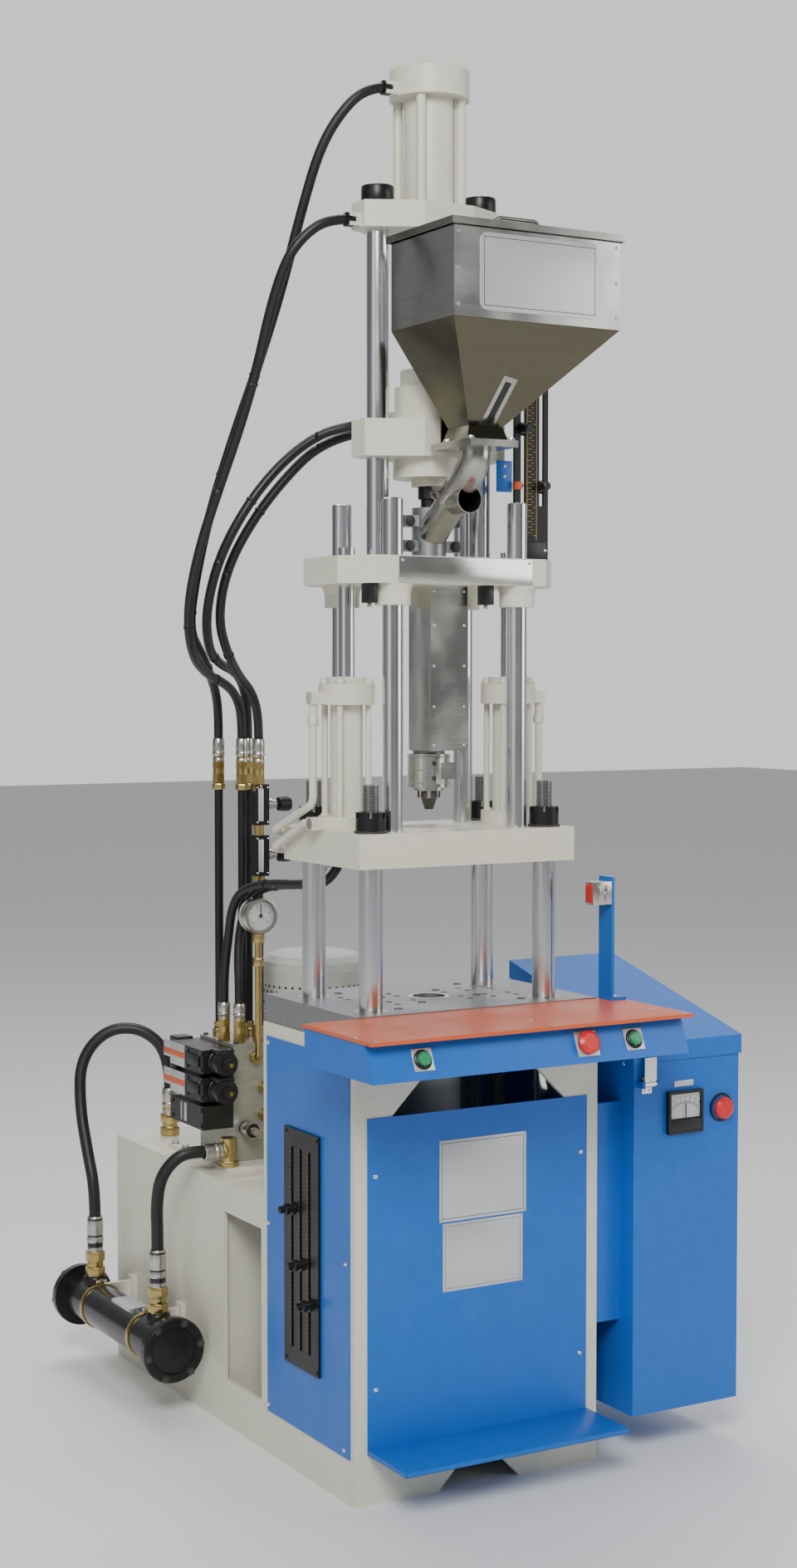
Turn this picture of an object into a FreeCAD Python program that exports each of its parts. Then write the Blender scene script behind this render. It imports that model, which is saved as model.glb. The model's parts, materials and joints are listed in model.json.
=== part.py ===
import FreeCAD, Part
import Sketcher
import math
import os

from FreeCAD import Placement, Rotation, Vector

# Vertical injection moulding machine, millimetres.
# X runs to the right along the front, Y to the back and Z up from the floor.
# The origin is on the floor, under the middle of the whole machine.

SIZES = {
    "datum": {
        "frame_left": -330.0,
        "frame_front": -410.0,
        "axis_from_left": 247.0,
        "axis_from_front": 170.0,
        "fit": 0.05,
        "gap": 0.3,
    },
    "press frame": {
        "frame_width": 500.0,
        "frame_depth": 344.0,
        "frame_height": 794.0,
        "frame_wall": 10.0,
        "post_width": 46.0,
        "sill_height": 98.0,
        "sill_overlap": 22.0,
        "frame_floor": 40.0,
        "lip_depth": 133.0,
        "lip_thick": 6.0,
        "foot_notch_width": 168.0,
        "foot_notch_top": 100.0,
        "foot_notch_height": 35.0,
        "side_hole_low": 98.0,
        "side_hole_high": 752.0,
        "side_hole_margin": 34.0,
        "gusset_reach": 150.0,
        "gusset_drop": 150.0,
    },
    "panels": {
        "panel_thick": 2.0,
        "panel_overlap": 22.0,
        "side_panel_overlap": 18.0,
        "front_panel_high": 670.0,
        "scale_length": 425.0,
        "scale_width": 130.0,
        "scale_low": 195.0,
        "scale_thick": 5.0,
        "scale_back": 250.0,
        "scale_slot": 9.0,
        "scale_slot_depth": 4.0,
    },
    "tank": {
        "bay_depth": 183.0,
        "tank_depth": 503.0,
        "tank_height": 465.0,
        "tank_wall": 8.0,
        "window_low": 87.0,
        "window_high": 409.0,
        "window_margin": 12.0,
        "cover_width": 380.0,
        "cover_depth": 280.0,
        "cover_thick": 8.0,
        "cover_left": 40.0,
        "cover_from_bay": 53.0,
        "cover_margin": 25.0,
        "tray_drop": 10.0,
        "tray_thick": 6.0,
    },
    "table": {
        "table_left": 5.0,
        "table_width": 495.0,
        "table_front": 5.0,
        "table_depth": 340.0,
        "table_thick": 50.0,
        "bush_wall": 9.0,
        "tee_hole": 6.5,
        "pattern_pitch": 100.0,
        "pattern_rise": 60.0,
        "ring_bore": 30.0,
    },
    "tie bars": {
        "tie_spacing_x": 358.0,
        "tie_spacing_y": 210.0,
        "tie_radius": 21.0,
        "stud_radius": 13.5,
        "stud_rise": 83.0,
        "tie_nut_radius": 26.5,
        "tie_nut_height": 36.0,
        "castle_depth": 9.0,
        "castle_width": 8.0,
    },
    "moving platen": {
        "platen_low": 1092.0,
        "platen_thick": 60.0,
        "platen_length": 442.0,
        "platen_width": 280.0,
        "platen_bore": 55.0,
        "guide_seat": 30.0,
        "guide_edge": 2.0,
    },
    "clamp": {
        "crosshead_low": 300.0,
        "crosshead_thick": 50.0,
        "crosshead_margin": 34.0,
        "clamp_radius": 57.5,
        "clamp_bore": 45.0,
        "clamp_low": 440.0,
        "clamp_cap": 30.0,
        "clamp_flange_radius": 88.0,
        "clamp_flange_thick": 20.0,
        "clamp_rod_radius": 28.0,
        "clamp_piston_thick": 40.0,
        "clamp_travel": 200.0,
        "clamp_cushion": 20.0,
    },
    "carriage": {
        "guide_spacing_x": 256.0,
        "guide_spacing_y": 184.0,
        "guide_radius": 18.0,
        "guide_top": 1730.0,
        "plate_low": 1582.0,
        "plate_thick": 48.0,
        "plate_length": 442.0,
        "plate_width": 246.0,
        "plate_corner_x": 52.0,
        "plate_corner_y": 60.0,
        "boss_radius": 31.5,
        "boss_drop": 37.0,
        "boss_flare": 14.0,
    },
    "carriage cylinders": {
        "cylinder_spacing": 338.0,
        "cylinder_radius": 28.5,
        "cylinder_bore": 22.5,
        "cylinder_collar": 24.0,
        "cylinder_head_radius": 50.0,
        "cylinder_head_low": 1372.0,
        "cylinder_head_thick": 36.0,
        "gland_radius": 36.0,
        "gland_height": 13.0,
        "cylinder_rod_radius": 14.5,
        "cylinder_stay_radius": 5.5,
        "stay_circle": 40.0,
        "rod_nut_radius": 15.3,
        "rod_nut_height": 17.0,
        "piston_low": 1330.0,
        "piston_thick": 20.0,
        "port_width": 22.0,
        "port_radius": 8.0,
        "port_reach": 25.0,
        "port_sink": 10.0,
        "port_step": 1.0,
        "port_drop": 22.0,
        "rod_stud_radius": 10.0,
        "port_pipe_radius": 7.0,
        "junction_left": 187.0,
        "junction_width": 100.0,
        "junction_depth": 40.0,
        "junction_height": 55.0,
        "upper_bend_rise": 47.0,
        "upper_pipe_drop": 12.0,
        "lower_pipe_drop": 44.0,
        "stay_rise": 12.0,
    },
    "injection unit": {
        "column_spacing": 212.0,
        "stud_hole_radius": 14.0,
        "column_seat": 30.0,
        "column_radius": 20.0,
        "column_nut_radius": 28.5,
        "column_nut_height": 31.0,
        "top_plate_low": 2205.0,
        "top_plate_thick": 46.0,
        "motor_plate_low": 1808.0,
        "motor_plate_thick": 65.0,
        "small_plate_length": 290.0,
        "small_plate_width": 140.0,
        "small_plate_corner_x": 95.0,
        "small_plate_corner_y": 46.0,
        "bearing_radius": 65.0,
        "bearing_height": 34.0,
        "bearing_foot_radius": 32.0,
        "bearing_foot_height": 14.0,
        "motor_radius": 62.0,
        "motor_height": 62.0,
        "motor_neck_radius": 52.0,
        "motor_neck_height": 30.0,
        "ram_rod_radius": 25.0,
        "shaft_radius": 12.0,
        "motor_port_back": 80.0,
        "elbow_width": 22.0,
        "elbow_reach": 22.0,
        "elbow_step": 2.0,
    },
    "injection cylinder": {
        "ram_radius": 46.0,
        "ram_bore": 37.0,
        "ram_length": 190.0,
        "ram_cap_radius": 71.5,
        "ram_cap_thick": 49.0,
        "ram_stay_radius": 8.5,
        "ram_stay_spacing": 82.0,
        "ram_nut_radius": 15.0,
        "ram_nut_height": 20.0,
        "ram_piston_thick": 30.0,
        "ram_cushion": 12.0,
        "nut_edge": 3.0,
    },
    "barrel": {
        "barrel_radius": 29.0,
        "barrel_bore": 15.0,
        "barrel_low": 1283.0,
        "feed_block_radius": 31.0,
        "feed_block_height": 92.0,
        "lug_reach": 57.0,
        "lug_depth": 26.0,
        "lug_height": 20.0,
        "lug_step": 14.0,
        "throat_radius": 12.0,
        "band_radius": 35.0,
        "band_height": 60.0,
        "band_count": 4.0,
        "band_start": 6.0,
        "band_pitch": 70.0,
        "cover_box_width": 76.0,
        "cover_box_reach": 70.0,
        "cover_box_depth": 77.0,
        "cover_box_low": 1290.0,
        "sheet_thick": 2.0,
        "nozzle_ring_radius": 30.0,
        "nozzle_band_radius": 38.5,
        "nozzle_band_height": 60.0,
        "nozzle_ring_height": 6.0,
        "nozzle_hex_radius": 20.0,
        "nozzle_hex_height": 14.0,
        "nozzle_tip_length": 20.0,
        "nozzle_tip_radius": 7.0,
        "nozzle_bore": 3.0,
        "terminal_reach": 6.0,
        "terminal_width": 30.0,
        "terminal_step": 15.0,
        "screw_root": 10.0,
        "screw_tip_gap": 10.0,
        "screw_feed": 280.0,
        "coupling_radius": 20.0,
        "coupling_height": 22.0,
    },
    "hopper": {
        "hopper_width": 334.0,
        "hopper_depth": 208.0,
        "hopper_offset": 42.0,
        "hopper_back_gap": 12.0,
        "hopper_box_low": 2016.0,
        "hopper_high": 2176.5,
        "hopper_rim_reach": 7.0,
        "hopper_lid_height": 12.0,
        "throat_width": 68.0,
        "throat_high": 1850.0,
        "throat_ahead": 156.0,
        "hopper_wall": 1.5,
        "sight_width": 11.0,
        "sight_length": 70.0,
        "slide_base_width": 96.0,
        "slide_base_depth": 133.0,
        "slide_base_low": 1814.0,
        "slide_base_thick": 6.0,
        "chute_radius": 28.0,
        "chute_wall": 1.5,
        "drain_radius": 25.0,
        "drain_reach": 58.0,
        "drain_height": 1730.0,
        "drain_ahead": 18.0,
        "gate_thick": 3.0,
        "gate_width": 44.0,
        "gate_along": 85.0,
        "gate_ring": 11.0,
        "skirt_flare": 8.0,
        "sight_start": 12.0,
        "bracket_width": 60.0,
        "bracket_sheet": 3.0,
        "bracket_height": 153.0,
        "bracket_back": 78.0,
        "lid_handle_length": 90.0,
        "lid_handle_height": 22.0,
        "lid_handle_radius": 4.0,
        "slide_base_lip": 15.0,
        "chute_bend": 40.0,
        "chute_bend_high": 1790.0,
        "chute_foot": 1672.0,
    },
    "travel scale": {
        "travel_scale_width": 72.0,
        "travel_scale_high": 1960.0,
        "travel_scale_thick": 6.0,
        "travel_scale_left": 145.0,
        "travel_scale_ahead": 58.0,
        "travel_slot": 10.0,
        "travel_slot_low": 100.0,
    },
    "work board": {
        "board_left": -98.0,
        "board_width": 638.0,
        "board_depth": 235.0,
        "board_thick": 6.0,
        "board_high": 842.0,
        "shelf_left": -96.0,
        "shelf_width": 626.0,
        "shelf_low": 775.0,
        "shelf_top_depth": 205.0,
        "shelf_foot_depth": 232.0,
        "shelf_sheet": 3.0,
        "button_radius": 11.5,
        "button_height": 8.0,
        "button_lift": 5.5,
        "stem_radius": 7.0,
        "collar_reach": 2.0,
        "mushroom_radius": 20.0,
        "mushroom_height": 11.0,
        "sensor_post_height": 222.0,
        "sensor_post_x": 505.0,
        "sensor_post_width": 40.0,
    },
    "cabinet": {
        "cabinet_left": 555.0,
        "cabinet_width": 238.0,
        "cabinet_front": -36.0,
        "cabinet_depth": 406.0,
        "cabinet_low": 79.0,
        "cabinet_seam": 736.0,
        "cabinet_rise": 106.0,
        "cabinet_sheet": 3.0,
        "lid_skirt": 35.0,
        "lid_clearance": 0.8,
        "lid_overlap": 10.0,
        "hinge_radius": 4.0,
        "hinge_pin": 2.0,
        "hinge_leaf": 2.5,
        "hinge_length": 50.0,
        "hinge_inset": 30.0,
        "hinge_rise": 30.0,
        "bracket_thick": 8.0,
        "bracket_rise": 400.0,
        "bracket_low": 250.0,
        "latch_width": 26.0,
        "latch_length": 49.0,
        "latch_pin": 3.0,
        "latch_x": 28.0,
        "latch_high": 686.0,
        "latch_reach": 10.0,
        "stop_x": 198.0,
        "stop_high": 627.0,
        "meter_x": 72.0,
        "meter_low": 589.0,
        "pivot_rise": 16.0,
        "pivot_radius": 1.5,
        "needle_thick": 1.2,
        "meter_width": 78.0,
        "meter_thick": 10.0,
        "meter_rim": 5.0,
    },
    "hydraulics": {
        "manifold_left": 75.0,
        "manifold_front": 626.0,
        "manifold_width": 90.0,
        "manifold_depth": 152.0,
        "manifold_high": 704.0,
        "valve_length": 150.0,
        "valve_width": 66.0,
        "valve_step": 55.0,
        "valve_height": 46.0,
        "valve_drop": 6.0,
        "coil_radius": 23.0,
        "coil_length": 42.0,
        "pipe_radius": 8.5,
        "pipe_high": 1210.0,
        "fitting_high": 1298.0,
        "fitting_radius": 13.0,
        "fitting_nut": 18.0,
        "fitting_neck": 12.0,
        "ferrule_radius": 11.0,
        "brass_radius": 12.0,
        "brass_pipe_radius": 7.0,
        "knob_radius": 13.5,
        "knob_height": 20.0,
        "knob_end": 4.0,
        "spindle_radius": 4.8,
        "throttle_height": 80.0,
        "throttle_case": 28.0,
        "throttle_offset": 11.0,
        "throttle_low": 1030.0,
        "throttle_pitch": 100.0,
        "throttle_neck": 26.0,
        "throttle_neck_radius": 7.0,
        "throttle_foot": 30.0,
        "throttle_ring_radius": 10.5,
        "tail_height": 73.0,
        "gauge_pipe_low": 677.0,
        "coil_nut": 15.0,
        "relief_x": 25.0,
        "relief_reach": 36.0,
        "relief_radius": 14.0,
        "plug_x": 64.0,
        "plug_reach": 26.0,
        "plug_drop": 89.0,
        "plug_pitch": 53.0,
        "throttle_width": 24.0,
        "gauge_radius": 33.0,
        "gauge_thick": 28.0,
        "gauge_rim": 4.0,
        "gauge_height": 957.0,
        "cowl_radius": 107.0,
        "cowl_high": 867.0,
        "cowl_x": 290.0,
        "cowl_y": 700.0,
        "cooler_radius": 44.0,
        "cooler_flange_radius": 63.0,
        "cooler_length": 470.0,
        "cooler_front": 580.0,
        "cooler_x": -75.0,
        "cooler_z": 135.0,
        "cooler_hose_radius": 12.0,
        "hose_radius": 9.0,
        "cooler_port": 16.0,
        "elbow_neck": 14.0,
        "elbow_offset": 8.0,
        "cooler_flange": 16.0,
        "cooler_bracket": 6.0,
    },
}

DOCUMENT = FreeCAD.newDocument("injection_moulding_machine")
SHEET = DOCUMENT.addObject("Spreadsheet::Sheet", "Sizes")
PARTS = []


class Size:
    """A length of the sheet, or a formula of such lengths, with its value."""

    def __init__(self, text, value):
        self.text = text
        self.value = value

    def combine(self, other, sign, value):
        return Size(f"({self.text} {sign} {text_of(other)})", value)

    def __add__(self, other):
        return self.combine(other, "+", self.value + number(other))

    def __radd__(self, other):
        return self + other

    def __sub__(self, other):
        return self.combine(other, "-", self.value - number(other))

    def __rsub__(self, other):
        return Size(f"({other} - {self.text})", other - self.value)

    def __mul__(self, other):
        return self.combine(other, "*", self.value * number(other))

    def __rmul__(self, other):
        return self * other

    def __truediv__(self, other):
        return self.combine(other, "/", self.value / number(other))

    def __neg__(self):
        return Size(f"(0 - {self.text})", -self.value)


def number(length):
    """The plain number of a Size or a number."""
    return length.value if isinstance(length, Size) else float(length)


def text_of(length):
    """The formula of a Size or a number."""
    return length.text if isinstance(length, Size) else f"({length})"


class Sheet:
    """The named lengths, each one cell of the spreadsheet."""

    def __init__(self):
        row = 0
        for group, lengths in SIZES.items():
            row += 1
            SHEET.set(f"A{row}", group)
            for name, value in lengths.items():
                row += 1
                SHEET.set(f"A{row}", name)
                SHEET.set(f"B{row}", str(value))
                SHEET.setAlias(f"B{row}", name)
                setattr(self, name, Size(f"Sizes.{name}", value))
        DOCUMENT.recompute()


s = Sheet()
LEFT = s.frame_left
FRONT = s.frame_front
AXIS_X = LEFT + s.axis_from_left
AXIS_Y = FRONT + s.axis_from_front
TABLE_LOW = s.frame_height
TABLE_TOP = s.frame_height + s.table_thick
PLATEN_TOP = s.platen_low + s.platen_thick
PLATE_TOP = s.plate_low + s.plate_thick
MOTOR_TOP = s.motor_plate_low + s.motor_plate_thick
TOP_PLATE_TOP = s.top_plate_low + s.top_plate_thick
BAY_BACK = FRONT + s.frame_depth + s.bay_depth

TURNS = {
    "X": Rotation(Vector(0, 1, 0), 90),
    "Y": Rotation(Vector(1, 0, 0), -90),
    "Z": Rotation(),
}
STAND_UP = Rotation(Vector(1, 0, 0), 90)


# ---------- making solids ----------

def bind(thing, prop, length):
    """Sets one property to a length, as a formula of the sheet."""
    if isinstance(length, Size):
        thing.setExpression(prop, length.text)
    else:
        thing.setExpression(prop, str(float(length)))


def place(thing, corner, turn=None):
    """Puts an object's own origin at a point, turned first."""
    if turn is not None:
        thing.Placement = Placement(Vector(), turn)
    for letter, length in zip("xyz", corner):
        bind(thing, f"Placement.Base.{letter}", length)
    return thing


def block(corner, size, turn=None):
    """A box from its lowest corner."""
    solid = DOCUMENT.addObject("Part::Box", "block")
    for prop, length in zip(("Length", "Width", "Height"), size):
        bind(solid, prop, length)
    return place(solid, corner, turn)


def rod(axis, start, radius, length):
    """A round bar along an axis, from the centre of its first end."""
    solid = DOCUMENT.addObject("Part::Cylinder", "rod")
    bind(solid, "Radius", radius)
    bind(solid, "Height", length)
    return place(solid, start, TURNS[axis])


def cone(axis, start, radius, end_radius, length):
    """A round taper along an axis."""
    solid = DOCUMENT.addObject("Part::Cone", "cone")
    bind(solid, "Radius1", radius)
    bind(solid, "Radius2", end_radius)
    bind(solid, "Height", length)
    return place(solid, start, TURNS[axis])


def hexagon(axis, start, radius, length):
    """A hexagon bar along an axis, radius to its corners."""
    solid = DOCUMENT.addObject("Part::Prism", "hexagon")
    solid.Polygon = 6
    bind(solid, "Circumradius", radius)
    bind(solid, "Height", length)
    return place(solid, start, TURNS[axis])


def join(*solids):
    """Several solids made one piece."""
    fused = DOCUMENT.addObject("Part::MultiFuse", "joined")
    fused.Shapes = list(solids)
    return fused


def gather(*solids):
    """Separate solids of one kind, kept together."""
    group = DOCUMENT.addObject("Part::Compound", "set")
    group.Links = list(solids)
    return group


def cut(base, *tools):
    """A solid less the tools, none of which meet each other."""
    result = DOCUMENT.addObject("Part::Cut", "cut")
    result.Base = base
    result.Tool = tools[0] if len(tools) == 1 else gather(*tools)
    return result


def ring(axis, start, radius, bore, length):
    """A round bar with a bore right through."""
    return cut(rod(axis, start, radius, length), rod(axis, start, bore, length))


def part(name, thing):
    """Keeps an object as a sub-part under its own name."""
    thing.Label = name
    PARTS.append(thing)
    return thing


def frustum(low, low_size, high, high_size):
    """An upright pyramid stump: corner and size (x, y) of its foot and of its top."""
    solid = DOCUMENT.addObject("Part::Wedge", "frustum")
    bind(solid, "Xmin", 0)
    bind(solid, "Xmax", low_size[0])
    bind(solid, "Zmin", 0)
    bind(solid, "Zmax", low_size[1])
    bind(solid, "Ymin", 0)
    bind(solid, "Ymax", high[2] - low[2])
    bind(solid, "X2min", high[0] - low[0])
    bind(solid, "X2max", high[0] - low[0] + high_size[0])
    back = low[1] + low_size[1]
    high_back = high[1] + high_size[1]
    bind(solid, "Z2min", back - high_back)
    bind(solid, "Z2max", back - high[1])
    return place(solid, (low[0], back, low[2]), STAND_UP)


def outline_body(plane, outline, corner):
    """A body with one closed sketch of straight lines through the given points."""
    body = DOCUMENT.addObject("PartDesign::Body", "body")
    sketch = body.newObject("Sketcher::SketchObject", "sketch")
    for feature in body.Origin.OriginFeatures:
        if feature.Role == plane:
            sketch.AttachmentSupport = [(feature, "")]
    sketch.MapMode = "FlatFace"
    points = [Vector(number(a), number(b), 0) for a, b in outline]
    count = len(points)
    for index, point in enumerate(points):
        sketch.addGeometry(Part.LineSegment(point, points[(index + 1) % count]), False)
    for index in range(count):
        sketch.addConstraint(Sketcher.Constraint("Coincident", index, 2, (index + 1) % count, 1))
    for index, pair in enumerate(outline):
        for kind, length, axis in (("DistanceX", pair[0], -2), ("DistanceY", pair[1], -1)):
            if abs(number(length)) < 1e-9:
                sketch.addConstraint(Sketcher.Constraint("PointOnObject", index, 1, axis))
                continue
            row = sketch.addConstraint(
                Sketcher.Constraint(kind, -1, 1, index, 1, number(length)))
            if isinstance(length, Size):
                sketch.setExpression(f"Constraints[{row}]", length.text)
    place(body, corner)
    return body, sketch


def pad(plane, outline, depth, corner):
    """A flat outline made solid over a depth, towards +Z, +Y or +X."""
    body, sketch = outline_body(plane, outline, corner)
    feature = body.newObject("PartDesign::Pad", "pad")
    feature.Profile = sketch
    bind(feature, "Length", depth)
    feature.Reversed = plane == "XZ_Plane"
    return body


def turned(outline, corner, turn=None):
    """A turned piece: (radius, height) points spun about Z."""
    body, sketch = outline_body("XZ_Plane", outline, corner)
    feature = body.newObject("PartDesign::Revolution", "turned")
    feature.Profile = sketch
    feature.ReferenceAxis = (sketch, ["V_Axis"])
    feature.Angle = 360
    if turn is not None:
        place(body, corner, turn)
    return body


def route_wire(points, arcs):
    """Straight runs through points, joined by tangent arcs of the given radii."""
    edges = []
    start = points[0]
    for index in range(1, len(points) - 1):
        corner = points[index]
        before = (corner - points[index - 1]).normalize()
        after = (points[index + 1] - corner).normalize()
        turn = before.getAngle(after)
        reach = arcs[index - 1] * math.tan(turn / 2)
        first = corner - before * reach
        last = corner + after * reach
        bisector = (after - before).normalize()
        centre = corner + bisector * (arcs[index - 1] / math.cos(turn / 2))
        middle = centre - bisector * arcs[index - 1]
        edges.append(Part.LineSegment(start, first).toShape())
        edges.append(Part.Arc(first, middle, last).toShape())
        start = last
    edges.append(Part.LineSegment(start, points[-1]).toShape())
    return Part.Wire(edges)


def swept(points, radius, arcs):
    """A round bar swept along runs and arcs."""
    wire = route_wire(points, arcs)
    direction = points[1] - points[0]
    section = Part.Wire(Part.Circle(points[0], direction, radius).toShape())
    return wire, wire.makePipeShell([section], True, False)


def vectors(points):
    """Points of lengths as plain vectors."""
    return [Vector(*(number(length) for length in point)) for point in points]


def bent_pipe(points, radius, bend):
    """A pipe bent to one radius at each corner."""
    places = vectors(points)
    shape = swept(places, number(radius), [number(bend)] * (len(places) - 2))[1]
    return fixed(shape)


def fixed(shape):
    """A shape that is worked out here from the sheet's lengths."""
    feature = DOCUMENT.addObject("Part::Feature", "shaped")
    feature.Shape = shape
    feature.Placement = Placement()
    return feature


def hose(name, points, radius):
    """A hose along its route, each arc as large as its two runs allow."""
    places = vectors(points)
    arcs = []
    for index in range(1, len(places) - 1):
        before = places[index] - places[index - 1]
        after = places[index + 1] - places[index]
        turn = before.getAngle(after)
        arcs.append(0.45 * min(before.Length, after.Length) / math.tan(turn / 2))
    wire, shape = swept(places, number(radius), arcs)
    expected = math.pi * number(radius) ** 2 * wire.Length
    share = shape.Volume / expected
    print(f"{name}: length {wire.Length:.0f}, least radius {min(arcs):.0f}, volume {share:.4f}")
    return shape


def mirror(thing, axis, at):
    """The mirror image of an object across a plane square to an axis."""
    image = DOCUMENT.addObject("Part::Mirroring", "mirrored")
    image.Source = thing
    image.Normal = Vector(1, 0, 0) if axis == "X" else Vector(0, 1, 0)
    bind(image, "Base.x" if axis == "X" else "Base.y", at)
    return image


def pair(thing):
    """An object and its image on the other side of the machine's axis."""
    return gather(thing, mirror(thing, "X", AXIS_X))


def four(thing):
    """An object at each of the four corners round the machine's axis."""
    both = pair(thing)
    return gather(both, mirror(both, "Y", AXIS_Y))


def at(x, y, z):
    """A point from the press frame's front left foot."""
    return (LEFT + x, FRONT + y, z)


def round_axis(x, y, z):
    """A point from the machine's axis."""
    return (AXIS_X + x, AXIS_Y + y, z)


def octagon(length, width, corner_x, corner_y):
    """Outline of a plate with cut corners."""
    return [
        (corner_x, 0), (length - corner_x, 0), (length, corner_y),
        (length, width - corner_y), (length - corner_x, width), (corner_x, width),
        (0, width - corner_y), (0, corner_y),
    ]


# ---------- press frame and tank ----------

def frame_wall(y, hole_top):
    """Upright plate across the frame, with an opening over its sill and a notch under it."""
    wall = s.frame_wall
    sill = s.sill_height + s.sill_overlap
    sheet = block((LEFT, FRONT + y, 0), (s.frame_width, wall, s.frame_height))
    hole = block((LEFT + s.post_width, FRONT + y, sill),
                 (s.frame_width - s.post_width * 2, wall, hole_top - sill))
    slope = (s.foot_notch_width - s.foot_notch_top) / 2
    notch = pad(
        "XZ_Plane",
        [(0, 0), (s.foot_notch_width, 0), (s.foot_notch_width - slope, s.foot_notch_height),
         (slope, s.foot_notch_height)],
        wall, (LEFT + s.frame_width / 2 - s.foot_notch_width / 2, FRONT + y, 0))
    return cut(sheet, hole, notch)


def press_frame():
    """Welded plates: walls with open front and sides, a floor and a lip."""
    wall = s.frame_wall
    deep = s.frame_depth - wall * 2
    margin = s.side_hole_margin
    side = cut(
        block((LEFT, FRONT + wall, 0), (wall, deep, s.frame_height)),
        block((LEFT, FRONT + margin, s.side_hole_low),
              (wall, s.frame_depth - margin * 2, s.side_hole_high - s.side_hole_low)))
    floor = block((LEFT + wall, FRONT + wall, s.frame_floor),
                  (s.frame_width - wall * 2, deep, wall))
    lip = block(
        (LEFT + s.post_width - s.panel_overlap, FRONT - s.lip_depth, s.sill_height - s.lip_thick),
        (s.frame_width - s.post_width * 2 + s.panel_overlap * 2, s.lip_depth, s.lip_thick))
    reach = s.gusset_reach
    drop = s.gusset_drop
    gusset_low = s.frame_height - drop
    left_gusset = pad(
        "XZ_Plane", [(0, 0), (reach, drop), (0, drop)], wall,
        (LEFT + s.post_width, FRONT, gusset_low))
    right_gusset = pad(
        "XZ_Plane", [(reach, 0), (reach, drop), (0, drop)], wall,
        (LEFT + s.frame_width - s.post_width - reach, FRONT, gusset_low))
    part("press_frame", gather(
        join(frame_wall(0, s.frame_height), left_gusset, right_gusset),
        frame_wall(s.frame_depth - wall, s.tank_height),
        side, mirror(side, "X", LEFT + s.frame_width / 2), floor, lip))


def tank_base():
    """Oil tank behind the frame, with a bay between them that has windows."""
    wall = s.tank_wall
    bay_front = FRONT + s.frame_depth
    depth = s.bay_depth + s.tank_depth
    shell = block((LEFT, bay_front, 0), (s.frame_width, depth, s.tank_height))
    inner = s.frame_width - wall * 2
    bay = block((LEFT + wall, bay_front, wall), (inner, s.bay_depth, s.tank_height))
    oil = block(
        (LEFT + wall, BAY_BACK + wall, wall),
        (inner, s.tank_depth - wall * 2, s.tank_height - wall * 2))
    window = block(
        (LEFT - wall, bay_front + s.window_margin, s.window_low),
        (s.frame_width + wall * 2, s.bay_depth - s.window_margin * 2,
         s.window_high - s.window_low))
    margin = s.cover_margin
    hatch = block(
        (LEFT + s.cover_left + margin, BAY_BACK + s.cover_from_bay + margin,
         s.tank_height - wall * 2),
        (s.cover_width - margin * 2, s.cover_depth - margin * 2, wall * 3))
    shell = cut(cut(shell, bay, oil), window, hatch)
    tray = block(
        (LEFT + wall, bay_front, s.tank_height - s.tray_drop),
        (inner, s.bay_depth, s.tray_thick))
    part("tank_base", join(shell, tray))


def tank_cover():
    """Plate over the tank's hatch, which carries the pump motor and the manifold."""
    part("tank_cover", block(
        (LEFT + s.cover_left, BAY_BACK + s.cover_from_bay, s.tank_height),
        (s.cover_width, s.cover_depth, s.cover_thick)))


def front_panel():
    """Sheet over the frame's front, which stands on the lip."""
    margin = s.post_width - s.panel_overlap
    part("front_panel", block(
        (LEFT + margin, FRONT - s.panel_thick, s.sill_height),
        (s.frame_width - margin * 2, s.panel_thick, s.front_panel_high - s.sill_height)))


def side_panels():
    """Sheet over each side of the frame."""
    over = s.side_panel_overlap
    margin = s.side_hole_margin - over
    low = s.side_hole_low - over
    left = block(
        (LEFT - s.panel_thick, FRONT + margin, low),
        (s.panel_thick, s.frame_depth - margin * 2,
         s.side_hole_high - s.side_hole_low + over * 2))
    part("side_panels", gather(left, mirror(left, "X", LEFT + s.frame_width / 2)))


def side_scale():
    """Stroke scale with three slots, on the left panel."""
    thick = s.scale_thick
    left = LEFT - s.panel_thick - thick
    plate = block(
        (left, FRONT + s.scale_back - s.scale_width, s.scale_low),
        (thick, s.scale_width, s.scale_length))
    slots = []
    pitch = s.scale_width / 4
    for index in range(1, 4):
        slots.append(block(
            (left, FRONT + s.scale_back - pitch * index - s.scale_slot / 2,
             s.scale_low + pitch),
            (s.scale_slot_depth, s.scale_slot, s.scale_length - pitch * 2)))
    part("side_scale", cut(plate, *slots))


# ---------- table and clamp ----------

def table_platen():
    """Fixed table with four bushed bores, a ring and a pattern of mould holes."""
    plate = block(
        (LEFT + s.table_left, FRONT + s.table_front, TABLE_LOW),
        (s.table_width, s.table_depth, s.table_thick))
    bores = four(rod(
        "Z", round_axis(-s.tie_spacing_x / 2, -s.tie_spacing_y / 2, TABLE_LOW),
        s.tie_radius + s.bush_wall, s.table_thick))
    deep = s.table_thick / 2
    holes = []
    for column in range(3):
        for row in range(2):
            holes.append(rod(
                "Z", round_axis(-s.pattern_pitch * (column + 1) / 2,
                                -s.pattern_rise * (row + 1) / 2, TABLE_TOP - deep),
                s.tee_hole, deep))
    centre = rod("Z", round_axis(0, 0, TABLE_TOP - deep), s.ring_bore, deep)
    part("table_platen", cut(plate, bores, centre, *[four(hole) for hole in holes]))


def guide_bushes():
    """Bush for each tie bar, flush with the table."""
    part("guide_bushes", four(ring(
        "Z", round_axis(-s.tie_spacing_x / 2, -s.tie_spacing_y / 2, TABLE_LOW),
        s.tie_radius + s.bush_wall, s.tie_radius + s.fit, s.table_thick)))


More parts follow.
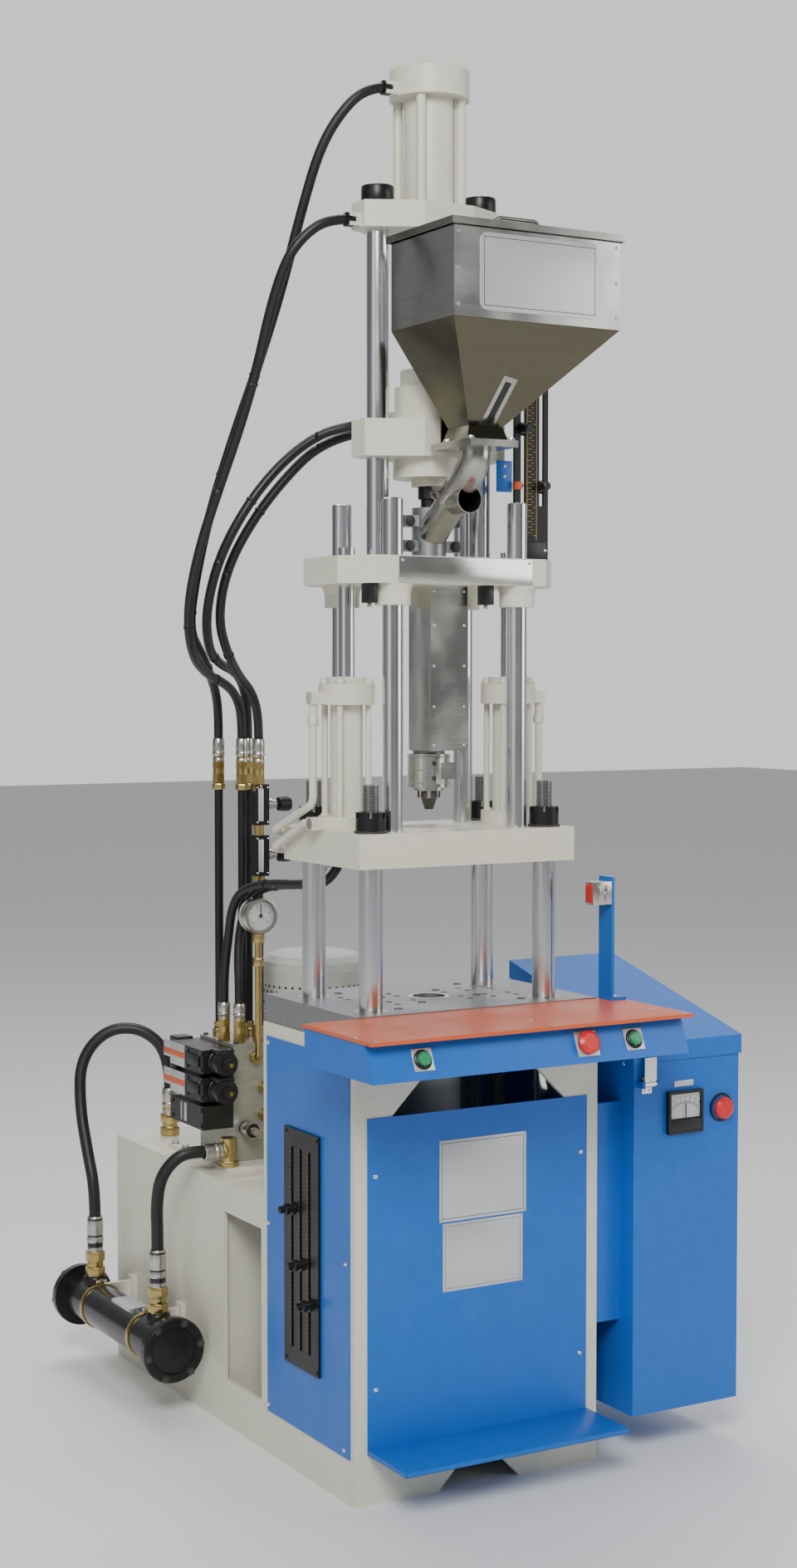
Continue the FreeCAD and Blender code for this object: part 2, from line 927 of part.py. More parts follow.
def moving_platen():
    """Upper platen on the tie bars, bored for the nozzle."""
    length = s.platen_length
    width = s.platen_width
    plate = block(round_axis(-length / 2, -width / 2, s.platen_low),
                  (length, width, s.platen_thick))
    studs = four(rod(
        "Z", round_axis(-s.tie_spacing_x / 2, -s.tie_spacing_y / 2, s.platen_low),
        s.stud_radius + s.fit, s.platen_thick))
    seats = four(rod(
        "Z", round_axis(-s.guide_spacing_x / 2, -s.guide_spacing_y / 2,
                        PLATEN_TOP - s.guide_seat),
        s.guide_radius + s.fit, s.guide_seat))
    bore = rod("Z", round_axis(0, 0, s.platen_low), s.platen_bore, s.platen_thick)
    part("moving_platen", cut(plate, studs, seats, bore))


def tie_bars():
    """Bar with a stud at each end, four of them."""
    x = -s.tie_spacing_x / 2
    y = -s.tie_spacing_y / 2
    crosshead_top = s.crosshead_low + s.crosshead_thick
    stud_low = s.crosshead_low - s.tie_nut_height
    bar = rod("Z", round_axis(x, y, crosshead_top), s.tie_radius, s.platen_low - crosshead_top)
    low_stud = rod("Z", round_axis(x, y, stud_low), s.stud_radius, crosshead_top - stud_low)
    high_stud = rod("Z", round_axis(x, y, s.platen_low), s.stud_radius,
                    s.platen_thick + s.stud_rise)
    part("tie_bars", four(join(bar, low_stud, high_stud)))


def castle_nut(height_low):
    """Round nut with six slots in its upper end."""
    x = -s.tie_spacing_x / 2
    y = -s.tie_spacing_y / 2
    nut = ring("Z", round_axis(x, y, height_low), s.tie_nut_radius,
               s.stud_radius + s.fit, s.tie_nut_height)
    for index in range(3):
        slot = DOCUMENT.addObject("Part::Box", "slot")
        bind(slot, "Length", s.tie_nut_radius * 3)
        bind(slot, "Width", s.castle_width)
        bind(slot, "Height", s.castle_depth)
        turn = Rotation(Vector(0, 0, 1), 60 * index)
        centre = turn.multVec(Vector(1, 0, 0))
        side = turn.multVec(Vector(0, 1, 0))
        half = s.tie_nut_radius * 1.5
        wide = s.castle_width / 2
        corner = round_axis(
            x - half * centre.x - wide * side.x,
            y - half * centre.y - wide * side.y,
            height_low + s.tie_nut_height - s.castle_depth)
        nut = cut(nut, place(slot, corner, turn))
    return nut


def tie_bar_nuts():
    """Slotted nuts over the platen and plain ones under the crosshead."""
    x = -s.tie_spacing_x / 2
    y = -s.tie_spacing_y / 2
    low = ring("Z", round_axis(x, y, s.crosshead_low - s.tie_nut_height), s.tie_nut_radius,
               s.stud_radius + s.fit, s.tie_nut_height)
    part("tie_bar_nuts", gather(four(castle_nut(PLATEN_TOP)), four(low)))


def clamp_crosshead():
    """Plate that ties the bars together below, with the clamp's rod and piston."""
    margin = s.crosshead_margin
    length = s.tie_spacing_x + margin * 2
    width = s.tie_spacing_y + margin * 2
    plate = block(round_axis(-length / 2, -width / 2, s.crosshead_low),
                  (length, width, s.crosshead_thick))
    studs = four(rod(
        "Z", round_axis(-s.tie_spacing_x / 2, -s.tie_spacing_y / 2, s.crosshead_low),
        s.stud_radius + s.fit, s.crosshead_thick))
    top = s.crosshead_low + s.crosshead_thick
    piston_low = s.clamp_low + s.clamp_cap + s.clamp_cushion + s.clamp_travel
    shaft = rod("Z", round_axis(0, 0, top), s.clamp_rod_radius,
                piston_low + s.clamp_piston_thick - top)
    piston = rod("Z", round_axis(0, 0, piston_low), s.clamp_bore - s.fit,
                 s.clamp_piston_thick)
    part("clamp_crosshead", join(cut(plate, studs), shaft, piston))


def clamp_cylinder():
    """Cylinder under the table, whose rod pushes the crosshead down."""
    low = s.clamp_low
    cap = s.clamp_cap
    height = TABLE_LOW - low
    part("clamp_cylinder", turned([
        (s.clamp_rod_radius + s.fit, 0), (s.clamp_radius, 0),
        (s.clamp_radius, height - s.clamp_flange_thick),
        (s.clamp_flange_radius, height - s.clamp_flange_thick),
        (s.clamp_flange_radius, height), (0, height), (0, height - cap),
        (s.clamp_bore, height - cap), (s.clamp_bore, cap), (s.clamp_rod_radius + s.fit, cap),
    ], round_axis(0, 0, low)))


# ---------- carriage on the moving platen ----------

def guide_columns():
    """Four columns seated in the moving platen."""
    low = PLATEN_TOP - s.guide_seat
    edge = s.guide_edge
    part("guide_columns", four(turned([
        (0, 0), (s.guide_radius, 0), (s.guide_radius, s.guide_top - low - edge),
        (s.guide_radius - edge, s.guide_top - low), (0, s.guide_top - low),
    ], round_axis(-s.guide_spacing_x / 2, -s.guide_spacing_y / 2, low))))


def carriage_cylinders():
    """Cylinder each side, with head, gland, stays and pipe ports."""
    x = -s.cylinder_spacing / 2
    low = PLATEN_TOP
    head = s.cylinder_head_low - low
    top = head + s.cylinder_head_thick
    big = s.cylinder_head_radius
    barrel = turned([
        (0, 0), (big, 0), (big, s.cylinder_collar), (s.cylinder_radius, s.cylinder_collar),
        (s.cylinder_radius, head), (big, head), (big, top), (s.gland_radius, top),
        (s.gland_radius, top + s.gland_height),
        (s.cylinder_rod_radius + s.fit, top + s.gland_height),
        (s.cylinder_rod_radius + s.fit, head), (s.cylinder_bore, head),
        (s.cylinder_bore, s.cylinder_collar / 2), (0, s.cylinder_collar / 2),
    ], round_axis(x, 0, low))
    stays = []
    for side_x in (-1, 1):
        for side_y in (-1, 1):
            spread = s.stay_circle * math.sqrt(0.5)
            stays.append(rod(
                "Z", round_axis(x + spread * side_x, spread * side_y, low),
                s.cylinder_stay_radius, top + s.stay_rise))
    width = s.port_width
    port_left = x - big - s.port_reach
    ports = []
    for port_low in (low + s.port_step, s.cylinder_head_low + s.port_step):
        ports.append(block(round_axis(port_left, -width / 2, port_low),
                           (s.port_reach + s.port_sink, width, width)))
    stub = rod("Z", round_axis(port_left + s.port_radius, 0, s.cylinder_head_low - s.port_drop),
               s.port_radius, s.port_drop + s.port_step)
    part("carriage_cylinders", gather(
        pair(join(barrel, *stays, *ports, stub)), port_pipes(port_left + s.port_radius)))


def port_pipes(port_x):
    """Bent pipes from the four ports to a junction block behind the platen."""
    left = -s.junction_left
    back = s.platen_width / 2 + s.junction_depth / 2
    radius = s.port_pipe_radius
    high = PLATEN_TOP - s.upper_pipe_drop
    low = PLATEN_TOP - s.lower_pipe_drop
    port_high = PLATEN_TOP + s.port_step + s.port_width / 2
    pieces = [block(
        round_axis(left, s.platen_width / 2, PLATEN_TOP - s.junction_height),
        (s.junction_width, s.junction_depth, s.junction_height))]
    for x, end in ((port_x, left), (-port_x, left + s.junction_width)):
        pieces.append(bent_pipe([
            round_axis(x, 0, s.cylinder_head_low - s.port_drop),
            round_axis(x, 0, PLATEN_TOP + s.upper_bend_rise),
            round_axis(x, back, high), round_axis(end, back, high)], radius, radius * 3))
        pieces.append(bent_pipe([
            round_axis(x, s.port_width / 2, port_high),
            round_axis(x, s.port_width * 1.5, port_high),
            round_axis(x, back, low), round_axis(end, back, low)], radius, radius * 3))
    return join(*pieces)


def carriage_rods():
    """Rod, piston and nut of each carriage cylinder."""
    x = -s.cylinder_spacing / 2
    low = s.piston_low
    rod_top = s.plate_low - low
    nut_low = PLATE_TOP - low
    stud = s.rod_stud_radius
    part("carriage_rods", pair(turned([
        (0, 0), (s.cylinder_bore - s.fit, 0), (s.cylinder_bore - s.fit, s.piston_thick),
        (s.cylinder_rod_radius, s.piston_thick), (s.cylinder_rod_radius, rod_top),
        (stud, rod_top), (stud, nut_low), (s.rod_nut_radius, nut_low),
        (s.rod_nut_radius, nut_low + s.rod_nut_height), (0, nut_low + s.rod_nut_height),
    ], round_axis(x, 0, low))))


def injection_plate():
    """Carriage plate with cut corners and a flared boss at each guide column."""
    length = s.plate_length
    width = s.plate_width
    plate = pad("XY_Plane", octagon(length, width, s.plate_corner_x, s.plate_corner_y),
                s.plate_thick, round_axis(-length / 2, -width / 2, s.plate_low))
    x = -s.guide_spacing_x / 2
    y = -s.guide_spacing_y / 2
    boss = four(rod("Z", round_axis(x, y, s.plate_low - s.boss_drop), s.boss_radius,
                    s.boss_drop))
    flare = four(cone("Z", round_axis(x, y, s.plate_low - s.boss_flare), s.boss_radius,
                      s.boss_radius + s.boss_flare * 0.3, s.boss_flare))
    guides = four(rod("Z", round_axis(x, y, s.plate_low - s.boss_drop),
                      s.guide_radius + s.fit, s.boss_drop + s.plate_thick))
    seats = pair(rod("Z", round_axis(-s.column_spacing / 2, 0, PLATE_TOP - s.column_seat),
                     s.column_radius + s.fit, s.column_seat))
    studs = pair(rod("Z", round_axis(-s.cylinder_spacing / 2, 0, s.plate_low),
                     s.rod_stud_radius + s.fit, s.plate_thick))
    bore = rod("Z", round_axis(0, 0, s.plate_low), s.barrel_radius + s.fit, s.plate_thick)
    part("injection_plate", cut(join(plate, boss, flare), guides, seats, studs, bore))


def injection_columns():
    """Two columns under the top plate, each with a round nut over it."""
    x = -s.column_spacing / 2
    low = PLATE_TOP - s.column_seat
    shoulder = s.top_plate_low - low
    nut_low = TOP_PLATE_TOP - low
    nut_top = nut_low + s.column_nut_height
    part("injection_columns", pair(turned([
        (0, 0), (s.column_radius, 0), (s.column_radius, shoulder),
        (s.stud_hole_radius, shoulder), (s.stud_hole_radius, nut_low),
        (s.column_nut_radius, nut_low), (s.column_nut_radius, nut_top - s.nut_edge),
        (s.column_nut_radius - s.nut_edge, nut_top), (0, nut_top),
    ], round_axis(x, 0, low))))


def small_plate(low, thick):
    """Outline plate shared by the top plate and the motor plate."""
    length = s.small_plate_length
    width = s.small_plate_width
    outline = octagon(length, width, s.small_plate_corner_x, s.small_plate_corner_y)
    return pad("XY_Plane", outline, thick, round_axis(-length / 2, -width / 2, low))


def top_plate():
    """Plate over the two columns, which carries the injection cylinder."""
    low = s.top_plate_low
    studs = pair(rod("Z", round_axis(-s.column_spacing / 2, 0, low),
                     s.stud_hole_radius + s.fit, s.top_plate_thick))
    bore = rod("Z", round_axis(0, 0, low), s.ram_rod_radius + s.fit, s.top_plate_thick)
    elbow = block(
        round_axis(-s.small_plate_length / 2 - s.elbow_reach, -s.elbow_width / 2,
                   low + s.elbow_step),
        (s.elbow_reach, s.elbow_width, s.elbow_width))
    part("top_plate", join(cut(small_plate(low, s.top_plate_thick), studs, bore), elbow))


def motor_plate():
    """Sliding plate with the screw's bearing housing under it."""
    low = s.motor_plate_low
    drop = s.bearing_height + s.bearing_foot_height
    housing = rod("Z", round_axis(0, 0, low - s.bearing_height), s.bearing_radius,
                  s.bearing_height)
    foot = rod("Z", round_axis(0, 0, low - drop), s.bearing_foot_radius,
               s.bearing_foot_height)
    runs = pair(rod("Z", round_axis(-s.column_spacing / 2, 0, low),
                    s.column_radius + s.fit, s.motor_plate_thick))
    shaft = rod("Z", round_axis(0, 0, low - drop), s.shaft_radius + s.fit,
                drop + s.motor_plate_thick)
    plate = small_plate(low, s.motor_plate_thick)
    part("motor_plate", cut(cut(join(plate, housing, foot), runs), shaft))


def hydraulic_motor():
    """Motor on the sliding plate, with two ports at its back."""
    neck = s.motor_height + s.motor_neck_height
    body = turned([
        (0, 0), (s.motor_radius, 0), (s.motor_radius, s.motor_height),
        (s.motor_neck_radius, s.motor_height), (s.motor_neck_radius, neck), (0, neck),
    ], round_axis(0, 0, MOTOR_TOP))
    width = s.elbow_width
    ports = []
    for side in (-1, 1):
        ports.append(block(
            round_axis(s.motor_radius * side / 2 - width / 2, 0, MOTOR_TOP + s.elbow_step),
            (width, s.motor_port_back, width)))
    part("hydraulic_motor", join(body, *ports))


def injection_rod():
    """Piston rod that pushes the motor and its plate down."""
    low = MOTOR_TOP + s.motor_height + s.motor_neck_height
    piston_low = TOP_PLATE_TOP + s.ram_cushion - low
    part("injection_rod", turned([
        (0, 0), (s.ram_rod_radius, 0), (s.ram_rod_radius, piston_low),
        (s.ram_bore - s.fit, piston_low), (s.ram_bore - s.fit, piston_low + s.ram_piston_thick),
        (0, piston_low + s.ram_piston_thick),
    ], round_axis(0, 0, low)))


def injection_cylinder():
    """Cylinder on the top plate, with a round cap on four stays."""
    low = TOP_PLATE_TOP
    tube_top = s.ram_length
    cap_top = tube_top + s.ram_cap_thick
    barrel = turned([
        (s.ram_bore, 0), (s.ram_radius, 0), (s.ram_radius, tube_top),
        (s.ram_cap_radius, tube_top), (s.ram_cap_radius, cap_top), (0, cap_top),
        (0, tube_top), (s.ram_bore, tube_top),
    ], round_axis(0, 0, low))
    place_x = -s.ram_stay_spacing / 2
    stays = four(rod("Z", round_axis(place_x, place_x, low), s.ram_stay_radius,
                     cap_top + s.ram_nut_height))
    nuts = four(hexagon("Z", round_axis(place_x, place_x, low + cap_top),
                        s.ram_nut_radius, s.ram_nut_height - s.nut_edge))
    elbow = block(
        round_axis(-s.ram_cap_radius - s.elbow_reach, -s.elbow_width / 2,
                   low + tube_top + s.elbow_step),
        (s.elbow_reach * 2, s.elbow_width, s.elbow_width))
    part("injection_cylinder", join(barrel, stays, nuts, elbow))


# ---------- plasticising unit ----------

THROAT_Y = -s.throat_ahead
CHUTE_TOP = round_axis(0, THROAT_Y, s.chute_bend_high)
CHUTE_FOOT = round_axis(0, -5, s.chute_foot)


def along(start, end, distance):
    """Plain point on the line from one point towards another."""
    first, last = vectors([start, end])
    return first + (last - first).normalize() * number(distance)


def feed_block():
    """Feed throat over the plate, clamped by two pairs of lugs."""
    low = PLATE_TOP
    body = rod("Z", round_axis(0, 0, low), s.feed_block_radius, s.feed_block_height)
    lugs = []
    for lug_low in (low + s.lug_step, low + s.feed_block_height - s.lug_step - s.lug_height):
        lugs.append(block(round_axis(-s.lug_reach, -s.lug_depth / 2, lug_low),
                          (s.lug_reach * 2, s.lug_depth, s.lug_height)))
    bore = rod("Z", round_axis(0, 0, low), s.barrel_bore, s.feed_block_height)
    foot, top = vectors([CHUTE_FOOT, CHUTE_TOP])
    inlet = fixed(Part.makeCylinder(
        number(s.throat_radius), number(s.feed_block_radius) * 2, foot, top - foot))
    part("feed_block", cut(cut(join(body, *lugs), bore), inlet))


def barrel():
    """Barrel below the plate, with heater bands round it."""
    height = PLATE_TOP - s.barrel_low
    outline = [(s.barrel_bore, 0), (s.barrel_radius, 0)]
    bands = int(s.band_count.value)
    for index in range(bands):
        low = s.band_pitch * index + s.band_start
        outline += [
            (s.barrel_radius, low), (s.band_radius, low),
            (s.band_radius, low + s.band_height), (s.barrel_radius, low + s.band_height),
        ]
    outline += [(s.barrel_radius, height), (s.barrel_bore, height)]
    part("barrel", turned(outline, round_axis(0, 0, s.barrel_low)))


def barrel_cover():
    """Three-sided sheet guard hung under the carriage plate."""
    wide = s.cover_box_width
    sheet = s.sheet_thick
    height = s.plate_low - s.cover_box_low
    front = -s.cover_box_reach
    outer = block(round_axis(-wide / 2, front, s.cover_box_low),
                  (wide, s.cover_box_depth, height))
    inner = block(round_axis(sheet - wide / 2, front + sheet, s.cover_box_low),
                  (wide - sheet * 2, s.cover_box_depth, height))
    part("barrel_cover", cut(outer, inner))


def nozzle():
    """Nozzle with its heater band, ring, hexagon and tip."""
    tip = s.nozzle_tip_length
    hex_top = tip + s.nozzle_hex_height
    ring_top = hex_top + s.nozzle_ring_height
    top = ring_top + s.nozzle_band_height
    body = turned([
        (s.nozzle_bore, 0), (s.nozzle_tip_radius, 0), (s.nozzle_tip_radius * 2, tip),
        (s.nozzle_tip_radius * 2, hex_top), (s.nozzle_ring_radius, hex_top),
        (s.nozzle_ring_radius, ring_top), (s.nozzle_band_radius, ring_top),
        (s.nozzle_band_radius, top), (s.nozzle_bore, top),
    ], round_axis(0, 0, s.barrel_low - top))
    nut = cut(
        hexagon("Z", round_axis(0, 0, s.barrel_low - top + tip), s.nozzle_hex_radius,
                s.nozzle_hex_height),
        rod("Z", round_axis(0, 0, s.barrel_low - top + tip), s.nozzle_bore,
            s.nozzle_hex_height))
    box = block(round_axis(0, -s.nozzle_band_radius - s.terminal_reach,
                           s.barrel_low - s.nozzle_band_height + s.terminal_step),
                (s.terminal_width, s.nozzle_band_radius, s.terminal_width))
    box = cut(box, rod("Z", round_axis(0, 0, s.barrel_low - top), s.nozzle_ring_radius, top))
    part("nozzle", join(body, nut, box))


def feed_screw():
    """Screw with its root, tip and coupling, which turns in the barrel."""
    foot = s.bearing_height + s.bearing_foot_height
    coupling_top = s.motor_plate_low - foot
    low = s.barrel_low + s.screw_tip_gap
    tip = s.screw_root * 2
    neck = coupling_top - s.coupling_height - low
    top = MOTOR_TOP - s.gap - low
    part("feed_screw", turned([
        (0, 0), (s.screw_root, tip), (s.screw_root, s.screw_feed),
        (s.barrel_bore - s.fit, s.screw_feed), (s.barrel_bore - s.fit, neck),
        (s.coupling_radius, neck), (s.coupling_radius, neck + s.coupling_height),
        (s.shaft_radius, neck + s.coupling_height), (s.shaft_radius, top), (0, top),
    ], round_axis(0, 0, low)))


# ---------- hopper and chute ----------

HOPPER_X = s.hopper_offset
HOPPER_Y = -s.small_plate_width / 2 - s.hopper_back_gap - s.hopper_depth
BASE_TOP = s.slide_base_low + s.slide_base_thick * 2


def hopper_form(inset):
    """Box, pyramid and skirt of the hopper, drawn in by a wall."""
    wide = s.hopper_width - inset * 2
    deep = s.hopper_depth - inset * 2
    throat = s.throat_width - inset * 2
    skirt = s.throat_width + s.skirt_flare * 2 - inset * 2
    box_corner = round_axis(HOPPER_X - wide / 2, HOPPER_Y + inset, s.hopper_box_low)
    throat_corner = round_axis(-throat / 2, THROAT_Y - throat / 2, s.throat_high)
    skirt_corner = round_axis(-skirt / 2, THROAT_Y - skirt / 2, BASE_TOP)
    box = block(box_corner, (wide, deep, s.hopper_high - s.hopper_box_low))
    pyramid = frustum(throat_corner, (throat, throat), box_corner, (wide, deep))
    foot = frustum(skirt_corner, (skirt, skirt), throat_corner, (throat, throat))
    return join(box, pyramid, foot)


def hopper():
    """Sheet hopper: box, offset pyramid and skirt, with a sight slot in front."""
    shell = cut(hopper_form(0), hopper_form(s.hopper_wall))
    top = Vector(*(number(v) for v in round_axis(HOPPER_X, HOPPER_Y, s.hopper_box_low)))
    foot = Vector(*(number(v) for v in round_axis(
        0, THROAT_Y - s.throat_width / 2, s.throat_high)))
    slope = (top - foot).normalize()
    start = foot + slope * number(s.sight_start)
    slot = fixed(Part.makeCylinder(number(s.sight_width) / 2, number(s.sight_length),
                                   start, slope))
    bracket = block(
        (AXIS_X - s.bracket_width / 2, FRONT + s.bracket_back, BASE_TOP),
        (s.bracket_width, s.bracket_sheet, s.bracket_height))
    part("hopper", join(cut(shell, slot), bracket))


def hopper_lid():
    """Shallow lid over the hopper's rim, with a bent handle."""
    reach = s.hopper_rim_reach
    wall = s.hopper_wall
    wide = s.hopper_width + reach * 2
    deep = s.hopper_depth + reach * 2
    low = s.hopper_high + wall - s.hopper_lid_height
    tray = block(round_axis(HOPPER_X - wide / 2, HOPPER_Y - reach, low),
                 (wide, deep, s.hopper_lid_height))
    room = block(round_axis(HOPPER_X - wide / 2 + wall, HOPPER_Y - reach + wall, low),
                 (wide - wall * 2, deep - wall * 2, s.hopper_lid_height - wall))
    top = s.hopper_high + wall
    half = s.lid_handle_length / 2
    y = HOPPER_Y + s.hopper_depth / 3
    rise = s.lid_handle_height
    handle = bent_pipe([
        round_axis(HOPPER_X - half, y, top), round_axis(HOPPER_X - half, y, top + rise),
        round_axis(HOPPER_X + half, y, top + rise), round_axis(HOPPER_X + half, y, top),
    ], s.lid_handle_radius, s.lid_handle_radius * 3)
    part("hopper_lid", join(cut(tray, room), handle))


def chute_shape(radius):
    """The bent tube of the chute and its drain stub, at one radius."""
    route = vectors([
        round_axis(0, THROAT_Y, s.slide_base_low), CHUTE_TOP, CHUTE_FOOT])
    tube = swept(route, number(radius), [number(s.chute_bend)])[1]
    stub_radius = number(s.drain_radius) - number(s.chute_radius) + number(radius)
    end = vectors([round_axis(0, THROAT_Y + s.drain_ahead, s.drain_height)])[0]
    stub = Part.makeCylinder(stub_radius, number(s.drain_reach), end, Vector(0, 1, 0))
    return tube.fuse(stub)


CHUTE_TURN = Rotation(Vector(0, 0, 1), vectors([CHUTE_FOOT])[0] - vectors([CHUTE_TOP])[0])
GATE_AT = tuple(along(CHUTE_TOP, CHUTE_FOOT, s.gate_along))


def feed_chute():
    """Slide base, bent chute to the feed throat, and a drain stub in front."""
    outer = fixed(chute_shape(s.chute_radius))
    inner = fixed(chute_shape(s.chute_radius - s.chute_wall))
    wide = s.slide_base_width
    plates = block(round_axis(-wide / 2, THROAT_Y - wide / 2 - s.slide_base_lip,
                              s.slide_base_low),
                   (wide, s.slide_base_depth, s.slide_base_thick * 2))
    hole = rod("Z", round_axis(0, THROAT_Y, s.slide_base_low), s.chute_radius - s.chute_wall,
               s.slide_base_thick * 2)
    room = tilted_block(
        (-s.chute_radius * 2, -s.gate_width / 2 - s.gap, -s.gate_thick / 2 - s.gap),
        (s.chute_radius * 2 + s.gap, s.gate_width + s.gap * 2, s.gate_thick + s.gap * 2))
    saddle = rod("Z", round_axis(0, 0, PLATE_TOP), s.feed_block_radius + s.fit,
                 s.feed_block_height)
    tube = cut(cut(cut(outer, inner), room), saddle)
    part("feed_chute", join(cut(plates, hole), tube))


def tilted_block(corner, size):
    """A box square to the chute, its corner from the middle of the gate."""
    base = GATE_AT
    for letter, length in zip("xyz", corner):
        step = CHUTE_TURN.multVec(Vector(letter == "x", letter == "y", letter == "z"))
        base = tuple(base[index] + length * step[index] for index in range(3))
    return block(base, size, CHUTE_TURN)


def chute_gate():
    """Sliding shutter with a ring to pull it by."""
    reach = s.chute_radius + s.gate_ring
    thick = s.gate_thick
    tongue = tilted_block((-reach, -s.gate_width / 2, -thick / 2), (reach, s.gate_width, thick))
    middle = Vector(*GATE_AT) + CHUTE_TURN.multVec(
        Vector(-number(reach), 0, -number(thick) / 2))
    axis = CHUTE_TURN.multVec(Vector(0, 0, 1))
    eye = Part.makeCylinder(number(s.gate_ring), number(thick), middle, axis)
    hole = Part.makeCylinder(number(s.gate_ring) * 0.6, number(thick), middle, axis)
    part("chute_gate", cut(join(tongue, fixed(eye)), fixed(hole)))


def travel_scale():
    """Upright scale plate with two slots for its stops."""
    left = s.travel_scale_left
    wide = s.travel_scale_width
    thick = s.travel_scale_thick
    plate = block(round_axis(left, -s.travel_scale_ahead, PLATE_TOP),
                  (wide, thick, s.travel_scale_high - PLATE_TOP))
    slots = []
    for share in (0.25, 0.8):
        slots.append(block(
            round_axis(left + wide * share - s.travel_slot / 2, -s.travel_scale_ahead - thick,
                       PLATE_TOP + s.travel_slot_low),
            (s.travel_slot, thick * 3,
             s.travel_scale_high - PLATE_TOP - s.travel_slot_low - s.travel_slot * 2)))
    part("travel_scale", cut(plate, *slots))


# ---------- work board, shelf and cabinet ----------

def work_board():
    """Board over the shelf, against the front of the table."""
    part("work_board", block(
        (LEFT + s.board_left, FRONT + s.table_front - s.board_depth,
         s.board_high - s.board_thick),
        (s.board_width, s.board_depth, s.board_thick)))


SHELF_HIGH = s.board_high - s.board_thick - s.shelf_low
SHELF_SLOPE = s.shelf_foot_depth - s.shelf_top_depth
SHELF_TURN = Rotation(Vector(0, 0, 1), Vector(0, -number(SHELF_HIGH), number(SHELF_SLOPE)))
SHELF_NORMAL = SHELF_TURN.multVec(Vector(0, 0, 1))
SHELF_BUTTONS = {"left": 4.0, "right": 421.0, "stop": 324.0}


def shelf_place(x, lift):
    """A point over the middle line of the shelf's sloping face."""
    return (LEFT + x,
            FRONT - (s.shelf_foot_depth + s.shelf_top_depth) / 2 + lift * SHELF_NORMAL.y,
            s.shelf_low + SHELF_HIGH / 2 + lift * SHELF_NORMAL.z)


def control_shelf():
    """Folded shelf with a sloping front, open below and bored for its buttons."""
    sheet = s.shelf_sheet
    deep = s.shelf_foot_depth
    base = (LEFT + s.shelf_left, FRONT - deep, s.shelf_low)
    outer = pad("YZ_Plane", [(0, 0), (deep, 0), (deep, SHELF_HIGH), (SHELF_SLOPE, SHELF_HIGH)],
                s.shelf_width, base)
    across = sheet / -SHELF_NORMAL.y
    high = SHELF_HIGH - sheet
    slope = SHELF_SLOPE / SHELF_HIGH * high + across
    inner = pad("YZ_Plane", [(across, 0), (deep - sheet, 0), (deep - sheet, high), (slope, high)],
                s.shelf_width - sheet * 2, (base[0] + sheet, base[1], base[2]))
    shell = cut(outer, inner)
    long = s.shelf_sheet * 4
    bores = [place(rod("Z", base, s.stem_radius + s.fit, long),
                   shelf_place(x, -s.shelf_sheet * 2), SHELF_TURN)
             for x in SHELF_BUTTONS.values()]
    part("control_shelf", cut(shell, *bores))


def button(radius, height, sheet):
    """Cap over a face, with a stem through the sheet and a collar inside."""
    stem = s.stem_radius
    foot = s.stem_radius + s.collar_reach
    collar = s.button_lift
    low = collar + s.button_lift + sheet + s.gap
    return turned([
        (0, 0), (foot, 0), (foot, collar), (stem, collar), (stem, low), (radius, low),
        (radius, low + height * 0.6), (radius * 0.7, low + height), (0, low + height),
    ], (0, 0, 0))


def shelf_buttons():
    """Two start buttons and a stop button in the shelf's sloping face."""
    sheet = s.shelf_sheet
    depth = -(s.button_lift + sheet + s.gap)
    for side in ("left", "right"):
        part(f"start_button_{side}", place(
            button(s.button_radius, s.button_height, sheet),
            shelf_place(SHELF_BUTTONS[side], depth), SHELF_TURN))
    part("shelf_stop_button", place(
        button(s.mushroom_radius, s.mushroom_height, sheet),
        shelf_place(SHELF_BUTTONS["stop"], depth), SHELF_TURN))


def sensor_post():
    """Upright plate on the board, with a safety sensor near its top."""
    low = s.board_high
    back = FRONT + s.table_front
    wide = s.sensor_post_width
    sheet = s.board_thick
    left = LEFT + s.sensor_post_x
    post = block((left, back - wide, low), (sheet, wide, s.sensor_post_height))
    foot = block((left, back - wide, low), (wide * 0.8, wide, sheet))
    sensor = block((left - wide, back - wide, low + s.sensor_post_height - wide * 1.2),
                   (wide, wide * 0.6, wide))
    part("sensor_post", join(post, foot, sensor))


CABINET_X = LEFT + s.cabinet_left
CABINET_Y = FRONT + s.cabinet_front
CABINET_SLOPE = s.cabinet_rise / s.cabinet_depth


def sloped(inset, low, high):
    """The cabinet's plan drawn in by an inset, its top following the slope."""
    deep = s.cabinet_depth - inset * 2
    fall = inset * CABINET_SLOPE
    return pad("YZ_Plane", [(0, 0), (deep, 0), (deep, high - low + deep * CABINET_SLOPE),
                            (0, high - low)],
               s.cabinet_width - inset * 2,
               (CABINET_X + inset, CABINET_Y + inset, low + fall))


HINGE_Y = CABINET_Y + s.cabinet_depth + s.cabinet_sheet + s.lid_clearance + s.hinge_radius + s.gap
HINGE_Z = s.cabinet_seam - s.lid_overlap + s.cabinet_rise - s.hinge_radius
HINGE_HALF = s.hinge_length / 2
HINGE_LEFTS = (CABINET_X + s.hinge_inset,
               CABINET_X + s.cabinet_width - s.hinge_inset - s.hinge_length)


def hinge_half(left, wall, side):
    """Leaf and knuckle of half a hinge, on a wall under or over the pin."""
    radius = s.hinge_radius
    wide = HINGE_HALF - s.gap / 2
    foot = -radius if side < 0 else 0
    leaf = block((left, wall, HINGE_Z - s.hinge_rise if side < 0 else HINGE_Z),
                 (wide, s.hinge_leaf, s.hinge_rise))
    web = block((left, wall, HINGE_Z + foot), (wide, HINGE_Y - wall, radius))
    return join(leaf, web, rod("X", (left, HINGE_Y, HINGE_Z), radius, wide))


